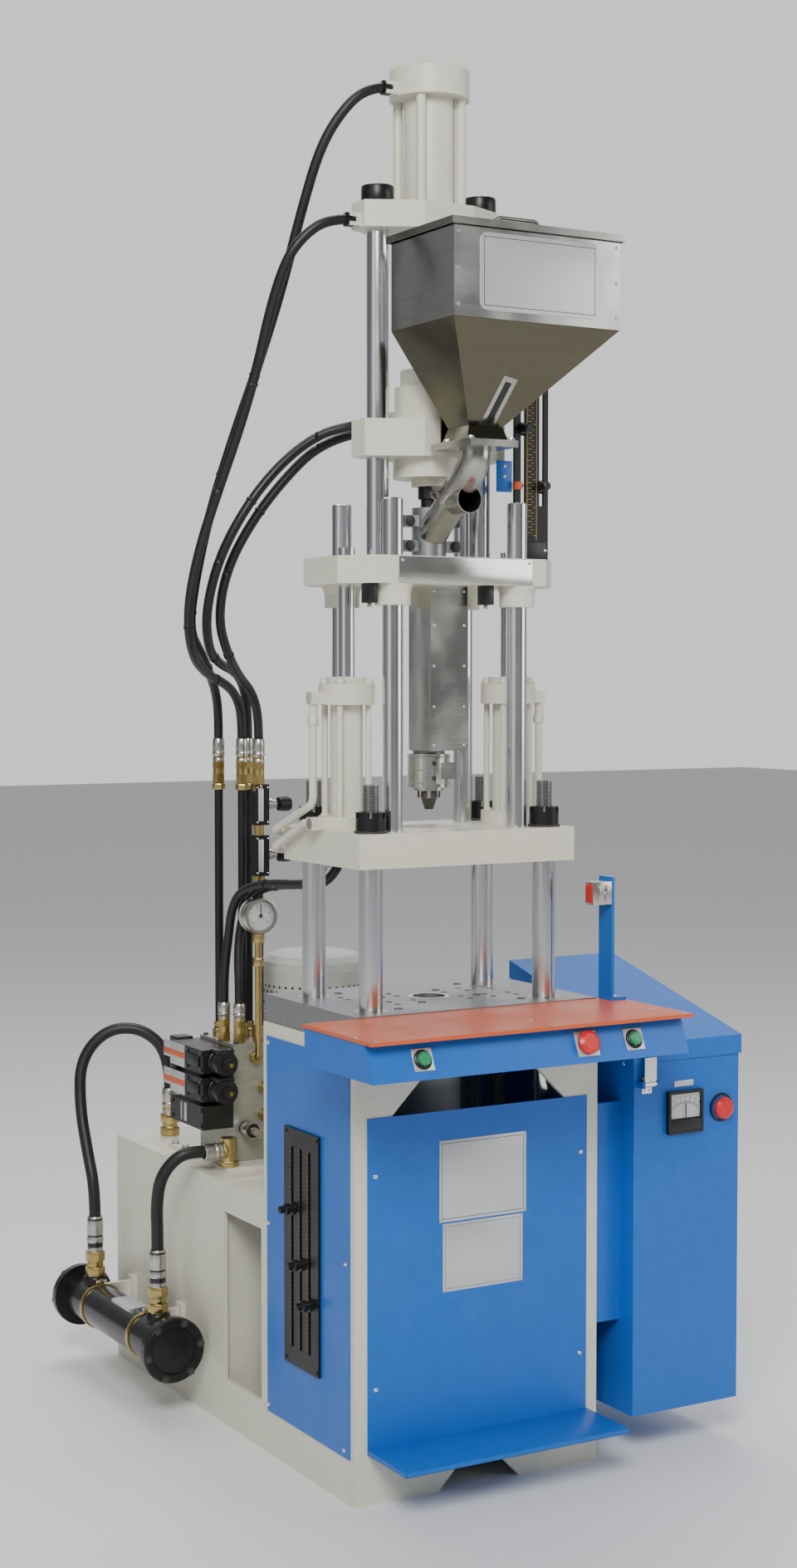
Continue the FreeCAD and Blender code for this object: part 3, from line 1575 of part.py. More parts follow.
def cabinet_body():
    """Sheet cabinet with a sloping top edge, on two brackets from the frame."""
    sheet = s.cabinet_sheet
    outer = sloped(0, s.cabinet_low, s.cabinet_seam)
    inner = sloped(sheet, s.cabinet_low + sheet, s.cabinet_seam + sheet)
    stop = rod("Y", (CABINET_X + s.stop_x, CABINET_Y - sheet, s.stop_high),
               s.stem_radius + s.fit, sheet * 3)
    shell = cut(cut(outer, inner), stop)
    plates = []
    for y in (s.bracket_thick / 2, s.frame_depth - s.bracket_thick * 1.5):
        plates.append(block(
            (LEFT + s.frame_width, FRONT + y, s.bracket_low),
            (s.cabinet_left - s.frame_width, s.bracket_thick, s.bracket_rise)))
    ears = []
    for side in (-1, 1):
        ears.append(block(
            (CABINET_X + s.latch_x + side * (s.latch_width + s.latch_pin * 2 + s.gap * 4) / 2
             - s.latch_pin, CABINET_Y - s.latch_reach - s.latch_pin * 2,
             s.latch_high - s.latch_pin * 2),
            (s.latch_pin * 2, s.latch_reach + s.latch_pin * 2, s.latch_pin * 4)))
    pin = rod("X", (CABINET_X + s.latch_x - s.latch_width / 2 - s.latch_pin * 3,
                    CABINET_Y - s.latch_reach, s.latch_high),
              s.latch_pin, s.latch_width + s.latch_pin * 6)
    wall = CABINET_Y + s.cabinet_depth
    hinges = [hinge_half(left, wall, -1) for left in HINGE_LEFTS]
    bores = [rod("X", (left, HINGE_Y, HINGE_Z), s.hinge_pin + s.fit, HINGE_HALF)
             for left in HINGE_LEFTS]
    part("cabinet_body", cut(join(shell, *plates, *ears, pin, *hinges), *bores))


def latch_lever():
    """Lever on the latch's pin."""
    wide = s.latch_width
    x = CABINET_X + s.latch_x - wide / 2
    y = CABINET_Y - s.latch_reach
    knuckle = rod("X", (x, y, s.latch_high), s.latch_pin * 1.7, wide)
    arm = block((x, y - s.latch_pin, s.latch_high), (wide, s.latch_pin, s.latch_length))
    bore = rod("X", (x, y, s.latch_high), s.latch_pin + s.fit, wide)
    part("latch_lever", cut(join(knuckle, arm), bore))


def cabinet_lid():
    """Sloping lid whose skirt hangs over the cabinet's edge, on two hinges behind."""
    sheet = s.cabinet_sheet
    low = s.cabinet_seam - s.lid_overlap
    drop = s.lid_skirt * 2
    outer = sloped(-(sheet + s.lid_clearance), low - drop, low + s.lid_skirt)
    inner = sloped(-s.lid_clearance, low - drop - sheet, low + s.lid_skirt - sheet)
    wall = CABINET_Y + s.cabinet_depth + sheet + s.lid_clearance
    hinges = []
    for left in HINGE_LEFTS:
        hinges.append(hinge_half(left + HINGE_HALF + s.gap / 2, wall, 1))
        hinges.append(rod("X", (left, HINGE_Y, HINGE_Z), s.hinge_pin, s.hinge_length - s.gap))
    part("cabinet_lid", join(cut(cut(outer, inner), slant_tool(low)), *hinges))


def slant_tool(low):
    """Everything under the lid's sloping lower edge."""
    edge = (s.cabinet_sheet + s.lid_clearance) * 2
    deep = s.cabinet_depth + edge * 2
    drop = s.lid_skirt * 2 + s.cabinet_rise
    return pad("YZ_Plane", [(0, 0), (deep, 0), (deep, drop + deep * CABINET_SLOPE), (0, drop)],
               s.cabinet_width + edge * 2,
               (CABINET_X - edge, CABINET_Y - edge, low - drop - edge * CABINET_SLOPE))


def cabinet_stop_button():
    """Mushroom stop button on the cabinet's front."""
    sheet = s.cabinet_sheet
    depth = s.button_lift + sheet + s.gap
    part("cabinet_stop_button", place(
        button(s.mushroom_radius, s.mushroom_height, sheet),
        (CABINET_X + s.stop_x, CABINET_Y + depth, s.stop_high), STAND_UP))


METER_X = CABINET_X + s.meter_x


def ammeter():
    """Square meter case with an open dial and a pivot for its needle."""
    wide = s.meter_width
    rim = s.meter_rim
    thick = s.meter_thick
    case = block((METER_X, CABINET_Y - thick, s.meter_low), (wide, thick, wide))
    dial = block((METER_X + rim, CABINET_Y - thick, s.meter_low + rim),
                 (wide - rim * 2, thick / 2, wide - rim * 2))
    pivot = rod("Y", (METER_X + wide / 2, CABINET_Y - thick, s.meter_low + s.pivot_rise),
                s.pivot_radius, thick)
    part("ammeter", join(cut(case, dial), pivot))


def needle(x, y, z, length):
    """Flat pointer with a bored hub, standing upright."""
    hub = s.pivot_radius * 2.5
    thick = s.needle_thick
    disc = rod("Y", (x, y, z), hub, thick)
    arm = block((x - s.pivot_radius / 2, y, z), (s.pivot_radius, thick, length))
    bore = rod("Y", (x, y, z), s.pivot_radius + s.fit, thick)
    return cut(join(disc, arm), bore)


def meter_needle():
    """Pointer of the meter."""
    part("meter_needle", needle(
        METER_X + s.meter_width / 2, CABINET_Y - s.meter_thick + s.gap * 4,
        s.meter_low + s.pivot_rise, s.meter_width / 2))


# ---------- hydraulics on the tank ----------

COVER_TOP = s.tank_height + s.cover_thick
VALVE_X = s.manifold_left - s.valve_width / 2


def valve_manifold():
    """Drilled block on the cover."""
    part("valve_manifold", block(
        at(s.manifold_left, s.manifold_front, COVER_TOP),
        (s.manifold_width, s.manifold_depth, s.manifold_high - COVER_TOP)))


def valve_stack():
    """Solenoid valves on the manifold's left side, each with a coil at each end."""
    pieces = []
    for row, ends in enumerate((2, 2, 0)):
        low = s.manifold_high - s.valve_height - s.valve_drop - s.valve_step * row
        body = block(at(s.manifold_left - s.valve_width, s.manifold_front, low),
                     (s.valve_width, s.valve_length, s.valve_height))
        pieces.append(body)
        middle = low + s.valve_height / 2
        if ends:
            pieces.append(rod(
                "Y", at(VALVE_X, s.manifold_front - s.coil_length, middle), s.coil_radius,
                s.coil_length * 2 + s.valve_length))
            pieces.append(rod(
                "Y", at(VALVE_X, s.manifold_front - s.coil_length - s.coil_nut, middle),
                s.coil_radius / 2, s.valve_length + s.coil_length * 2 + s.coil_nut * 2))
    relief_high = s.manifold_high - s.valve_step * 3
    pieces.append(rod("Y", at(s.manifold_left + s.relief_x, s.manifold_front - s.relief_reach,
                              relief_high), s.relief_radius, s.relief_reach))
    part("valve_stack", join(*pieces))


PIPES = {"first": (101.0, 742.0), "second": (132.0, 700.0), "third": (144.0, 650.0),
         "fourth": (156.0, 722.0)}
HOSE_TAILS = ((100.0, 650.0), (83.0, 683.0))
GAUGE = (120.0, 606.0)


def steel_pipes():
    """Upright pipes on the manifold."""
    pipes = [rod("Z", at(x, y, s.manifold_high), s.pipe_radius, s.pipe_high - s.manifold_high)
             for x, y in PIPES.values()]
    part("steel_pipes", gather(*pipes))


def hose_fitting(x, y, low, high):
    """Union with two hexagons under a plain ferrule."""
    return join(
        rod("Z", at(x, y, low), s.ferrule_radius, high - low),
        hexagon("Z", at(x, y, low), s.fitting_radius, s.fitting_nut),
        hexagon("Z", at(x, y, low + s.fitting_nut + s.fitting_neck), s.fitting_radius,
                s.fitting_neck))


def gauge_pipe():
    """Bent pipe from the manifold's front to the foot of the gauge."""
    x, y = GAUGE
    pipe = bent_pipe([at(x, s.manifold_front, s.gauge_pipe_low), at(x, y, s.gauge_pipe_low),
                      at(x, y, s.gauge_height)],
                     s.brass_pipe_radius, s.brass_pipe_radius * 2)
    return cut(pipe, rod("Y", at(x, y - s.gauge_thick, s.gauge_height), s.gauge_radius,
                         s.gauge_thick * 2))


def pipe_fittings():
    """Fittings of the hoses, rings by the regulators, plugs and the gauge's pipe."""
    fittings = [hose_fitting(x, y, s.pipe_high, s.fitting_high) for x, y in PIPES.values()]
    for x, y in HOSE_TAILS:
        fittings.append(hose_fitting(x, y, s.manifold_high, s.manifold_high + s.tail_height))
    x, y = PIPES["third"]
    low = THROTTLES["lower"] + s.throttle_height
    rings = [
        ring("Z", at(x, y, low), s.throttle_ring_radius, s.pipe_radius + s.fit,
             THROTTLES["upper"] - low),
        ring("Z", at(x, y, THROTTLES["lower"] - s.throttle_foot), s.brass_radius,
             s.pipe_radius + s.fit, s.throttle_foot),
    ]
    rear = rod("Z", at(*HOSE_REAR[0][:2], s.tank_height), s.cooler_port,
               HOSE_REAR[0][2] - s.tank_height)
    front_x, front_y, front_z = HOSE_FRONT[0]
    along_x = s.cooler_port + s.elbow_offset
    elbow = join(
        rod("Z", at(front_x + along_x, front_y, COVER_TOP), s.cooler_port,
            front_z + along_x - COVER_TOP),
        rod("X", at(front_x, front_y, front_z), s.elbow_neck, along_x))
    plugs = [rod("Y", at(s.manifold_left + s.plug_x, s.manifold_front - s.plug_reach, z),
                 s.brass_radius, s.plug_reach)
             for z in (s.manifold_high - s.plug_drop,
                       s.manifold_high - s.plug_drop - s.plug_pitch)]
    part("pipe_fittings", gather(*fittings, *rings, rear, elbow, *plugs, gauge_pipe()))


THROTTLES = {"upper": s.throttle_low + s.throttle_pitch, "lower": s.throttle_low}


def throttle_valves():
    """Two flow regulators in line with the third pipe."""
    x, y = PIPES["third"]
    wide = s.throttle_width
    right = x - s.throttle_offset + s.throttle_case
    valves = []
    for low in THROTTLES.values():
        middle = low + s.throttle_height / 2
        case = block(at(x - s.throttle_offset, y - wide / 2, low),
                     (s.throttle_case, wide, s.throttle_height))
        bore = rod("Z", at(x, y, low), s.pipe_radius + s.fit, s.throttle_height)
        neck = rod("X", at(right, y, middle), s.throttle_neck_radius, s.throttle_neck)
        spindle = rod("X", at(right, y, middle), s.spindle_radius,
                      s.throttle_neck + s.knob_height)
        valves.append(join(cut(case, bore), neck, spindle))
    part("throttle_valves", gather(*valves))


def throttle_knobs():
    """Knurled knob on each regulator's spindle."""
    x, y = PIPES["third"]
    for name, low in THROTTLES.items():
        start = at(x - s.throttle_offset + s.throttle_case + s.throttle_neck + s.gap, y,
                   low + s.throttle_height / 2)
        part(f"throttle_knob_{name}", cut(
            rod("X", start, s.knob_radius, s.knob_height + s.knob_end),
            rod("X", start, s.spindle_radius + s.fit, s.knob_height)))


def pressure_gauge():
    """Round gauge with an open dial, on its bent pipe."""
    x, y = GAUGE
    thick = s.gauge_thick
    front = y - thick / 2
    case = rod("Y", at(x, front, s.gauge_height), s.gauge_radius, thick)
    dial = rod("Y", at(x, front, s.gauge_height), s.gauge_radius - s.gauge_rim,
               s.needle_thick * 4)
    pivot = rod("Y", at(x, front, s.gauge_height), s.pivot_radius, thick)
    part("pressure_gauge", join(cut(case, dial), pivot))


def gauge_needle():
    """Pointer of the gauge."""
    part("gauge_needle", needle(
        LEFT + GAUGE[0], FRONT + GAUGE[1] - s.gauge_thick / 2 + s.gap * 4, s.gauge_height,
        s.gauge_radius * 0.7))


def pump_motor():
    """Pump motor under a round cowl with a rounded shoulder."""
    high = s.cowl_high - COVER_TOP
    bend = s.cowl_radius * 0.3
    part("pump_motor", turned([
        (0, 0), (s.cowl_radius, 0), (s.cowl_radius, high - bend),
        (s.cowl_radius - bend * 0.13, high - bend * 0.5),
        (s.cowl_radius - bend * 0.5, high - bend * 0.13),
        (s.cowl_radius - bend, high), (0, high),
    ], at(s.cowl_x, s.cowl_y, COVER_TOP)))


TOP = s.tank_height
HOSE_REAR = [
    (95, 972, TOP + 95), (95, 972, TOP + 170), (46, 1000, TOP + 225), (-22, 1032, TOP + 223),
    (-72, 1052, TOP + 160), (-80, 1035, TOP + 65), (-78, 1000, 440), (-75, 970, 370),
    (-75, 970, 310),
]
HOSE_FRONT = [
    (28, 600, TOP + 40), (-14, 600, TOP + 40), (-56, 612, TOP + 16), (-80, 635, TOP - 26),
    (-75, 655, 365), (-75, 655, 310),
]


def oil_cooler():
    """Long round cooler beside the tank, with a flange and a port near each end."""
    x = s.cooler_x
    z = s.cooler_z
    thick = s.cooler_flange
    body = rod("Y", at(x, s.cooler_front, z), s.cooler_radius, s.cooler_length)
    flanges = [rod("Y", at(x, y, z), s.cooler_flange_radius, thick)
               for y in (s.cooler_front, s.cooler_front + s.cooler_length - thick)]
    ports = [rod("Z", at(x, route[-1][1], z), s.cooler_port, route[-1][2] - z)
             for route in (HOSE_REAR, HOSE_FRONT)]
    part("oil_cooler", join(body, *flanges, *ports))


def cooler_brackets():
    """Two plates from the tank's side, bored round the cooler."""
    plates = []
    reach = s.cooler_radius + s.cooler_bracket
    left = s.cooler_x - reach
    for y in (s.cooler_front + s.cooler_length * 0.25, s.cooler_front + s.cooler_length * 0.75):
        plate = block(at(left, y, s.cooler_z - reach),
                      (-left, s.cooler_bracket, reach * 2))
        plates.append(cut(plate, rod("Y", at(s.cooler_x, y, s.cooler_z),
                                     s.cooler_radius + s.fit, s.cooler_bracket)))
    part("cooler_brackets", gather(*plates))


def cooler_hoses():
    """Hoses between the tank and the cooler."""
    for name, route in (("cooler_hose_front", HOSE_FRONT), ("cooler_hose_rear", HOSE_REAR)):
        part(name, fixed(hose(name, [at(*point) for point in route], s.cooler_hose_radius)))


HOSES = {
    "cylinder cap": [
        (153.5, 170, 2454), (104, 170, 2454), (50, 182, 2427), (14, 215, 2346), (3, 258, 2226),
        (-4, 300, 2100), (-30, 345, 1970), (-66, 385, 1840), (-92, 425, 1715), (-92, 470, 1600),
        (-62, 530, 1512), (2, 614, 1472), (56, 684, 1430), (86, 723, 1395), (101, 742, 1348),
        (101, 742, 1298)],
    "top plate": [
        (80, 170, 2218), (27, 170, 2218), (-20, 181, 2195), (-51, 201, 2151), (-63, 241, 2064),
        (-66, 288, 1962), (-79, 333, 1860), (-100, 378, 1755), (-119, 422, 1648),
        (-120, 472, 1545), (-82, 532, 1466), (2, 618, 1434), (73, 662, 1419), (110, 686, 1393),
        (132, 700, 1348), (132, 700, 1298)],
    "motor left": [
        (216, 250, 1886), (216, 306, 1886), (188, 358, 1884), (133, 386, 1866), (62, 396, 1810),
        (-3, 406, 1730), (-46, 432, 1635), (-50, 478, 1540), (-14, 543, 1472), (38, 606, 1446),
        (103, 667, 1430), (137, 702, 1402), (156, 722, 1353), (156, 722, 1298)],
    "motor right": [
        (278, 250, 1886), (278, 315, 1886), (232, 380, 1880), (150, 412, 1850), (85, 425, 1785),
        (25, 440, 1705), (-15, 462, 1618), (-13, 503, 1530), (28, 550, 1466), (85, 613, 1420),
        (122, 637, 1393), (144, 650, 1348), (144, 650, 1298)],
    "carriage left": [
        (118, 330, 1097), (118, 330, 1069), (118, 343, 1045), (118, 368, 1031), (120, 425, 1029),
        (118, 510, 1028), (110, 590, 1020), (99, 645, 1000), (94, 672, 962), (93, 682, 912),
        (87, 685, 862), (83, 683, 820), (83, 683, 777)],
    "carriage right": [
        (150, 330, 1097), (150, 330, 1069), (150, 343, 1045), (149, 368, 1031), (146, 425, 1028),
        (140, 505, 1026), (133, 578, 1018), (122, 632, 998), (113, 655, 958), (106, 662, 910),
        (101, 656, 862), (100, 650, 820), (100, 650, 777)],
}


def hose_bundle():
    """Hoses from the valves to the injection cylinder, the motor and the carriage."""
    part("hose_bundle", gather(*[
        fixed(hose(name, [at(*point) for point in route], s.hose_radius))
        for name, route in HOSES.items()]))


for build in (
    press_frame, tank_base, tank_cover, front_panel, side_panels, side_scale, table_platen,
    guide_bushes, moving_platen, tie_bars, tie_bar_nuts, clamp_crosshead, clamp_cylinder,
    guide_columns, carriage_cylinders, carriage_rods, injection_plate, injection_columns,
    top_plate, motor_plate, hydraulic_motor, injection_rod, injection_cylinder, feed_block,
    barrel, barrel_cover, nozzle, feed_screw, hopper, hopper_lid, feed_chute, chute_gate,
    travel_scale, work_board, control_shelf, shelf_buttons, sensor_post, cabinet_body,
    latch_lever, cabinet_lid, cabinet_stop_button, ammeter, meter_needle, valve_manifold,
    valve_stack, steel_pipes, pipe_fittings, throttle_valves, throttle_knobs, pressure_gauge,
    gauge_needle, pump_motor, oil_cooler, cooler_brackets, cooler_hoses, hose_bundle,
):
    build()

DOCUMENT.recompute()
for thing in DOCUMENT.Objects:
    if "Invalid" in thing.State or "Error" in thing.State:
        raise SystemExit(f"{thing.Name} did not build: {thing.State}")
os.makedirs("parts", exist_ok=True)
for thing in PARTS:
    shape = thing.Shape
    if shape.isNull() or not shape.isValid() or not shape.Solids:
        raise SystemExit(f"{thing.Label} has no valid solid")
    box = shape.BoundBox
    print(f"{thing.Label}: X {box.XMin:.1f} {box.XMax:.1f}, Y {box.YMin:.1f} {box.YMax:.1f}, "
          f"Z {box.ZMin:.1f} {box.ZMax:.1f}, {len(shape.Solids)} solids")
    shape.exportStep(f"parts/{thing.Label}.step")
print(len(PARTS), "parts")
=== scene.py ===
import json
import math

import bmesh
import bpy
from mathutils import Euler, Matrix, Vector


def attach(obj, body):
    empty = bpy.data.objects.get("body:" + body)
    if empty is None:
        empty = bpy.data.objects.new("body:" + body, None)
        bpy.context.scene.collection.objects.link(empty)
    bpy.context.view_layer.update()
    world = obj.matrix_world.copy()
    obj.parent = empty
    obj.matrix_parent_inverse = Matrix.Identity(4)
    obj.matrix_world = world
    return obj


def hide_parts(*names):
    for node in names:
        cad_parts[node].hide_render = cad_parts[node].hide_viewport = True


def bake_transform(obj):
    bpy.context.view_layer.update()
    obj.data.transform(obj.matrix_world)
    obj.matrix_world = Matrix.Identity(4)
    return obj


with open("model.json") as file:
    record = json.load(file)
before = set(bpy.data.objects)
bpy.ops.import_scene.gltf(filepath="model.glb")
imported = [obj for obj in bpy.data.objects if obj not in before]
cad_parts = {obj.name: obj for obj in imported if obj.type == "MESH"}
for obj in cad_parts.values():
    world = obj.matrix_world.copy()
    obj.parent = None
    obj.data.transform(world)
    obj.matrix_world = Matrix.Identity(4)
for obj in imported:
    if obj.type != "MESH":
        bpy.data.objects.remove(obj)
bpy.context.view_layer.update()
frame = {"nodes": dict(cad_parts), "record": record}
NODES = frame["nodes"]

# All lengths are metres. Points written as P(x, y, z) are millimetres from the
# press frame's front left foot: X right, Y back, Z up.
CORNER = (-330.0, -410.0)


def P(x, y, z):
    """A point of the machine in metres."""
    return Vector(((x + CORNER[0]) / 1000, (y + CORNER[1]) / 1000, z / 1000))


# ---------- camera ----------

EYE = P(-1840.7, -3336.4, 1424.0)
EYE_TURN = math.radians(30)
EYE_TILT = math.radians(2.75)
FOCAL_LENGTH = 52.06


def make_camera():
    """The camera at the photograph's place."""
    data = bpy.data.cameras.new("camera")
    data.sensor_width = 36
    data.lens = FOCAL_LENGTH
    data.clip_end = 100
    camera = bpy.data.objects.new("camera", data)
    bpy.context.scene.collection.objects.link(camera)
    ahead = Vector((math.sin(EYE_TURN) * math.cos(EYE_TILT),
                    math.cos(EYE_TURN) * math.cos(EYE_TILT), -math.sin(EYE_TILT)))
    camera.location = EYE
    camera.rotation_euler = ahead.to_track_quat("-Z", "Y").to_euler()
    bpy.context.scene.camera = camera


make_camera()


# ---------- shader nodes ----------

def node(tree, kind, inputs, **settings):
    """A new shader node; each of its inputs is a number or another node's output."""
    made = tree.nodes.new(f"ShaderNode{kind}")
    for name, value in settings.items():
        setattr(made, name, value)
    for name, value in inputs.items():
        if isinstance(value, bpy.types.NodeSocket):
            tree.links.new(value, made.inputs[name])
        else:
            made.inputs[name].default_value = value
    return made


# ---------- studio ----------

# Brightness of the surroundings round the machine: shares of a turn, from straight before
# the machine by its right side and its back to its left side.
SURROUNDINGS = ((0.0, 0.14), (1.0, 0.14), (0.07, 0.30), (0.13, 0.12), (0.30, 0.16), (0.36, 0.30),
                (0.42, 0.88), (0.50, 0.95), (0.58, 0.88), (0.64, 0.16), (0.72, 0.20),
                (0.84, 0.20), (0.87, 1.10), (0.92, 1.10), (0.95, 0.16))
# Soft lights: place, the point that each is turned to, size and power.
LIGHTS = {
    "key": ((-3.0, -4.5, 4.5), (0, 0, 1.1), 2.2, 330),
    "fill": ((4.0, -3.5, 2.5), (0, 0, 1.0), 3.0, 80),
    "top": ((0.5, 1.5, 5.0), (0, 0, 1.2), 3.0, 120),
}


def make_world():
    """Pale surroundings behind the machine, dimmer round its sides and before it."""
    world = bpy.data.worlds.new("studio")
    bpy.context.scene.world = world
    world.use_nodes = True
    tree = world.node_tree
    background = tree.nodes["Background"]
    background.inputs["Strength"].default_value = 1.0
    place = node(tree, "TexCoord", {})
    turn = node(tree, "Mapping", {"Vector": place.outputs["Generated"],
                                  "Rotation": (0, 0, math.radians(-60))})
    bearing = node(tree, "TexGradient", {"Vector": turn.outputs["Vector"]},
                   gradient_type="RADIAL")
    tone = node(tree, "ValToRGB", {"Fac": bearing.outputs["Color"]})
    tone.color_ramp.interpolation = "B_SPLINE"
    stops = tone.color_ramp.elements
    for index, (share, level) in enumerate(SURROUNDINGS):
        stop = stops[index] if index < 2 else stops.new(share)
        stop.position = share
        stop.color = (level, level * 1.01, level * 1.03, 1)
    tree.links.new(tone.outputs["Color"], background.inputs["Color"])


def make_studio():
    """Pale floor, pale surroundings and three soft lights."""
    make_world()
    bpy.ops.mesh.primitive_plane_add(size=40, location=(0, 4, 0))
    floor = bpy.context.object
    floor.name = "studio_floor"
    floor.data.materials.append(plain("floor", (0.80, 0.80, 0.79), 0.8))
    for name, (place, target, size, power) in LIGHTS.items():
        data = bpy.data.lights.new(name, "AREA")
        data.size = size
        data.energy = power
        light = bpy.data.objects.new(name, data)
        bpy.context.scene.collection.objects.link(light)
        light.location = place
        light.rotation_euler = (Vector(target) - Vector(place)).to_track_quat("-Z", "Y").to_euler()


# ---------- materials ----------

def plain(name, colour, rough, metal=0.0):
    """A shader with its numbers on its own sockets."""
    material = bpy.data.materials.new(name)
    material.use_nodes = True
    shader = material.node_tree.nodes["Principled BSDF"]
    shader.inputs["Base Color"].default_value = (*colour, 1)
    shader.inputs["Roughness"].default_value = rough
    shader.inputs["Metallic"].default_value = metal
    material.diffuse_color = (*colour, 1)
    return material


def textured(name, colour, rough, metal, grain, vary, relief, wear):
    """A finish with slight changes of tone, gloss and relief, by the object's own place."""
    material = plain(name, colour, rough, metal)
    tree = material.node_tree
    shader = tree.nodes["Principled BSDF"]
    place = node(tree, "TexCoord", {})
    stretch = node(tree, "Mapping", {"Vector": place.outputs["Object"], "Scale": grain})
    noise = node(tree, "TexNoise", {"Vector": stretch.outputs["Vector"], "Scale": 1.0,
                                    "Detail": 4.0})
    tone = node(tree, "ValToRGB", {"Fac": noise.outputs["Fac"]})
    for end, position, change in zip(tone.color_ramp.elements, (0.3, 0.7), (1 - vary, 1 + vary)):
        end.position = position
        end.color = (*(min(1.0, value * change) for value in colour), 1)
    bump = node(tree, "Bump", {"Height": noise.outputs["Fac"], "Strength": relief,
                               "Distance": 0.0005})
    tree.links.new(tone.outputs["Color"], shader.inputs["Base Color"])
    tree.links.new(bump.outputs["Normal"], shader.inputs["Normal"])
    if wear:
        patches = node(tree, "TexNoise", {"Vector": place.outputs["Object"], "Scale": 7.0,
                                          "Detail": 6.0})
        gloss = node(tree, "MapRange", {"Value": patches.outputs["Fac"], "From Min": 0.35,
                                        "From Max": 0.65, "To Min": rough,
                                        "To Max": rough + wear})
        tree.links.new(gloss.outputs["Result"], shader.inputs["Roughness"])
    return material


def sheet_metal(name, colour, rough):
    """Bright rolled sheet: soft waves and fine drawn lines."""
    material = textured(name, colour, rough, 1.0, (9, 9, 700), 0.07, 0.10, 0.14)
    tree = material.node_tree
    shader = tree.nodes["Principled BSDF"]
    lines = shader.inputs["Normal"].links[0].from_socket
    place = node(tree, "TexCoord", {})
    waves = node(tree, "TexNoise", {"Vector": place.outputs["Object"], "Scale": 6.5,
                                    "Detail": 1.0})
    sway = node(tree, "Bump", {"Height": waves.outputs["Fac"], "Normal": lines,
                               "Strength": 0.35, "Distance": 0.012})
    tree.links.new(sway.outputs["Normal"], shader.inputs["Normal"])
    return material


def hopper_sheet_painted_reflection():
    """Bright sheet whose sloping lower half is painted darker and browner than its upright walls:
    a painted dark reflection on the slope.
    """
    material = sheet_metal("hopper_sheet_painted_reflection", (0.60, 0.60, 0.57), 0.13)
    tree = material.node_tree
    shader = tree.nodes["Principled BSDF"]
    tone = shader.inputs["Base Color"].links[0].from_socket
    place = node(tree, "TexCoord", {})
    axes = node(tree, "SeparateXYZ", {"Vector": place.outputs["Object"]})
    rise = node(tree, "MapRange", {"Value": axes.outputs["Z"], "From Min": 1.9,
                                   "From Max": 2.1})
    # Painted reflection: below the break the base colour is multiplied by a dark brown that stands
    # in for a dark reflection on the slope.
    dark = node(tree, "ValToRGB", {"Fac": rise.outputs["Result"]})
    dark.color_ramp.interpolation = "CONSTANT"
    dark.color_ramp.elements[0].color = (0.20, 0.185, 0.135, 1)
    dark.color_ramp.elements[1].position = 0.58
    dark.color_ramp.elements[1].color = (1, 1, 1, 1)
    shade = node(tree, "Mix", {"Factor": 1.0, "A": tone, "B": dark.outputs["Color"]},
                 data_type="RGBA", blend_type="MULTIPLY")
    tree.links.new(shade.outputs["Result"], shader.inputs["Base Color"])
    return material


def glass():
    """Clear cover of a dial."""
    material = plain("glass", (0.95, 0.97, 0.97), 0.03)
    shader = material.node_tree.nodes["Principled BSDF"]
    shader.inputs["Transmission Weight"].default_value = 1.0
    shader.inputs["IOR"].default_value = 1.1
    return material


# Looks: the record's slot, colour, roughness, metal, grain along X, Y and Z, change of tone,
# relief, and how much rougher the worn patches are. A slot's first look is that of its nodes.
LOOKS = {
    "cream": ("cream_paint", (0.66, 0.65, 0.535), 0.30, 0.0, (60, 60, 60), 0.03, 0.10, 0.12),
    "cowl": ("cream_paint", (0.52, 0.55, 0.50), 0.34, 0.0, (60, 60, 60), 0.03, 0.10, 0.1),
    "blue": ("blue_paint", (0.0, 0.118, 0.50), 0.3, 0.0, (40, 40, 40), 0.04, 0.08, 0.12),
    "orange": ("orange_paint", (0.60, 0.10, 0.025), 0.34, 0.0, (50, 50, 50), 0.05, 0.12, 0.14),
    "ground": ("grey_steel", (0.30, 0.31, 0.32), 0.30, 0.9, (20, 500, 20), 0.10, 0.2, 0.15),
    "manifold": ("grey_steel", (0.36, 0.36, 0.31), 0.36, 0.6, (20, 20, 300), 0.08, 0.15, 0.1),
    "chrome": ("chrome_steel", (0.72, 0.73, 0.75), 0.14, 1.0, (30, 30, 900), 0.03, 0.05, 0.06),
    "black_steel": ("black_steel", (0.010, 0.010, 0.011), 0.30, 0.3, (70, 70, 70), 0.2, 0.15,
                    0.1),
    "dark": ("black_steel", (0.09, 0.085, 0.08), 0.42, 0.8, (90, 90, 90), 0.2, 0.2, 0.1),
    "gloss": ("grey_paint", (0.010, 0.010, 0.011), 0.14, 0.0, (25, 25, 25), 0.2, 0.2, 0.1),
    "black": ("black_plastic", (0.008, 0.008, 0.009), 0.38, 0.0, (300, 300, 300), 0.2, 0.2, 0),
    "rubber": ("rubber_hose", (0.006, 0.006, 0.006), 0.40, 0.0, (120, 120, 120), 0.2, 0.25,
               0.12),
    "brass": ("brass_fitting", (0.47, 0.355, 0.14), 0.22, 1.0, (80, 80, 80), 0.12, 0.1, 0.1),
    "gold": ("brass_fitting", (0.42, 0.30, 0.09), 0.4, 0.4, (100, 100, 100), 0.05, 0.0, 0),
    "silver": ("silver_fitting", (0.50, 0.49, 0.45), 0.24, 1.0, (90, 90, 400), 0.06, 0.1, 0.1),
    "label": ("silver_fitting", (0.60, 0.61, 0.62), 0.36, 0.6, (12, 12, 600), 0.04, 0.05, 0.1),
    "white": ("silver_fitting", (0.78, 0.78, 0.75), 0.4, 0.0, (30, 30, 30), 0.02, 0.02, 0),
    "green": ("green_plastic", (0.015, 0.26, 0.10), 0.22, 0.0, (40, 40, 40), 0.06, 0.05, 0.08),
    "red": ("red_plastic", (0.62, 0.018, 0.014), 0.26, 0.0, (40, 40, 40), 0.06, 0.05, 0.08),
}
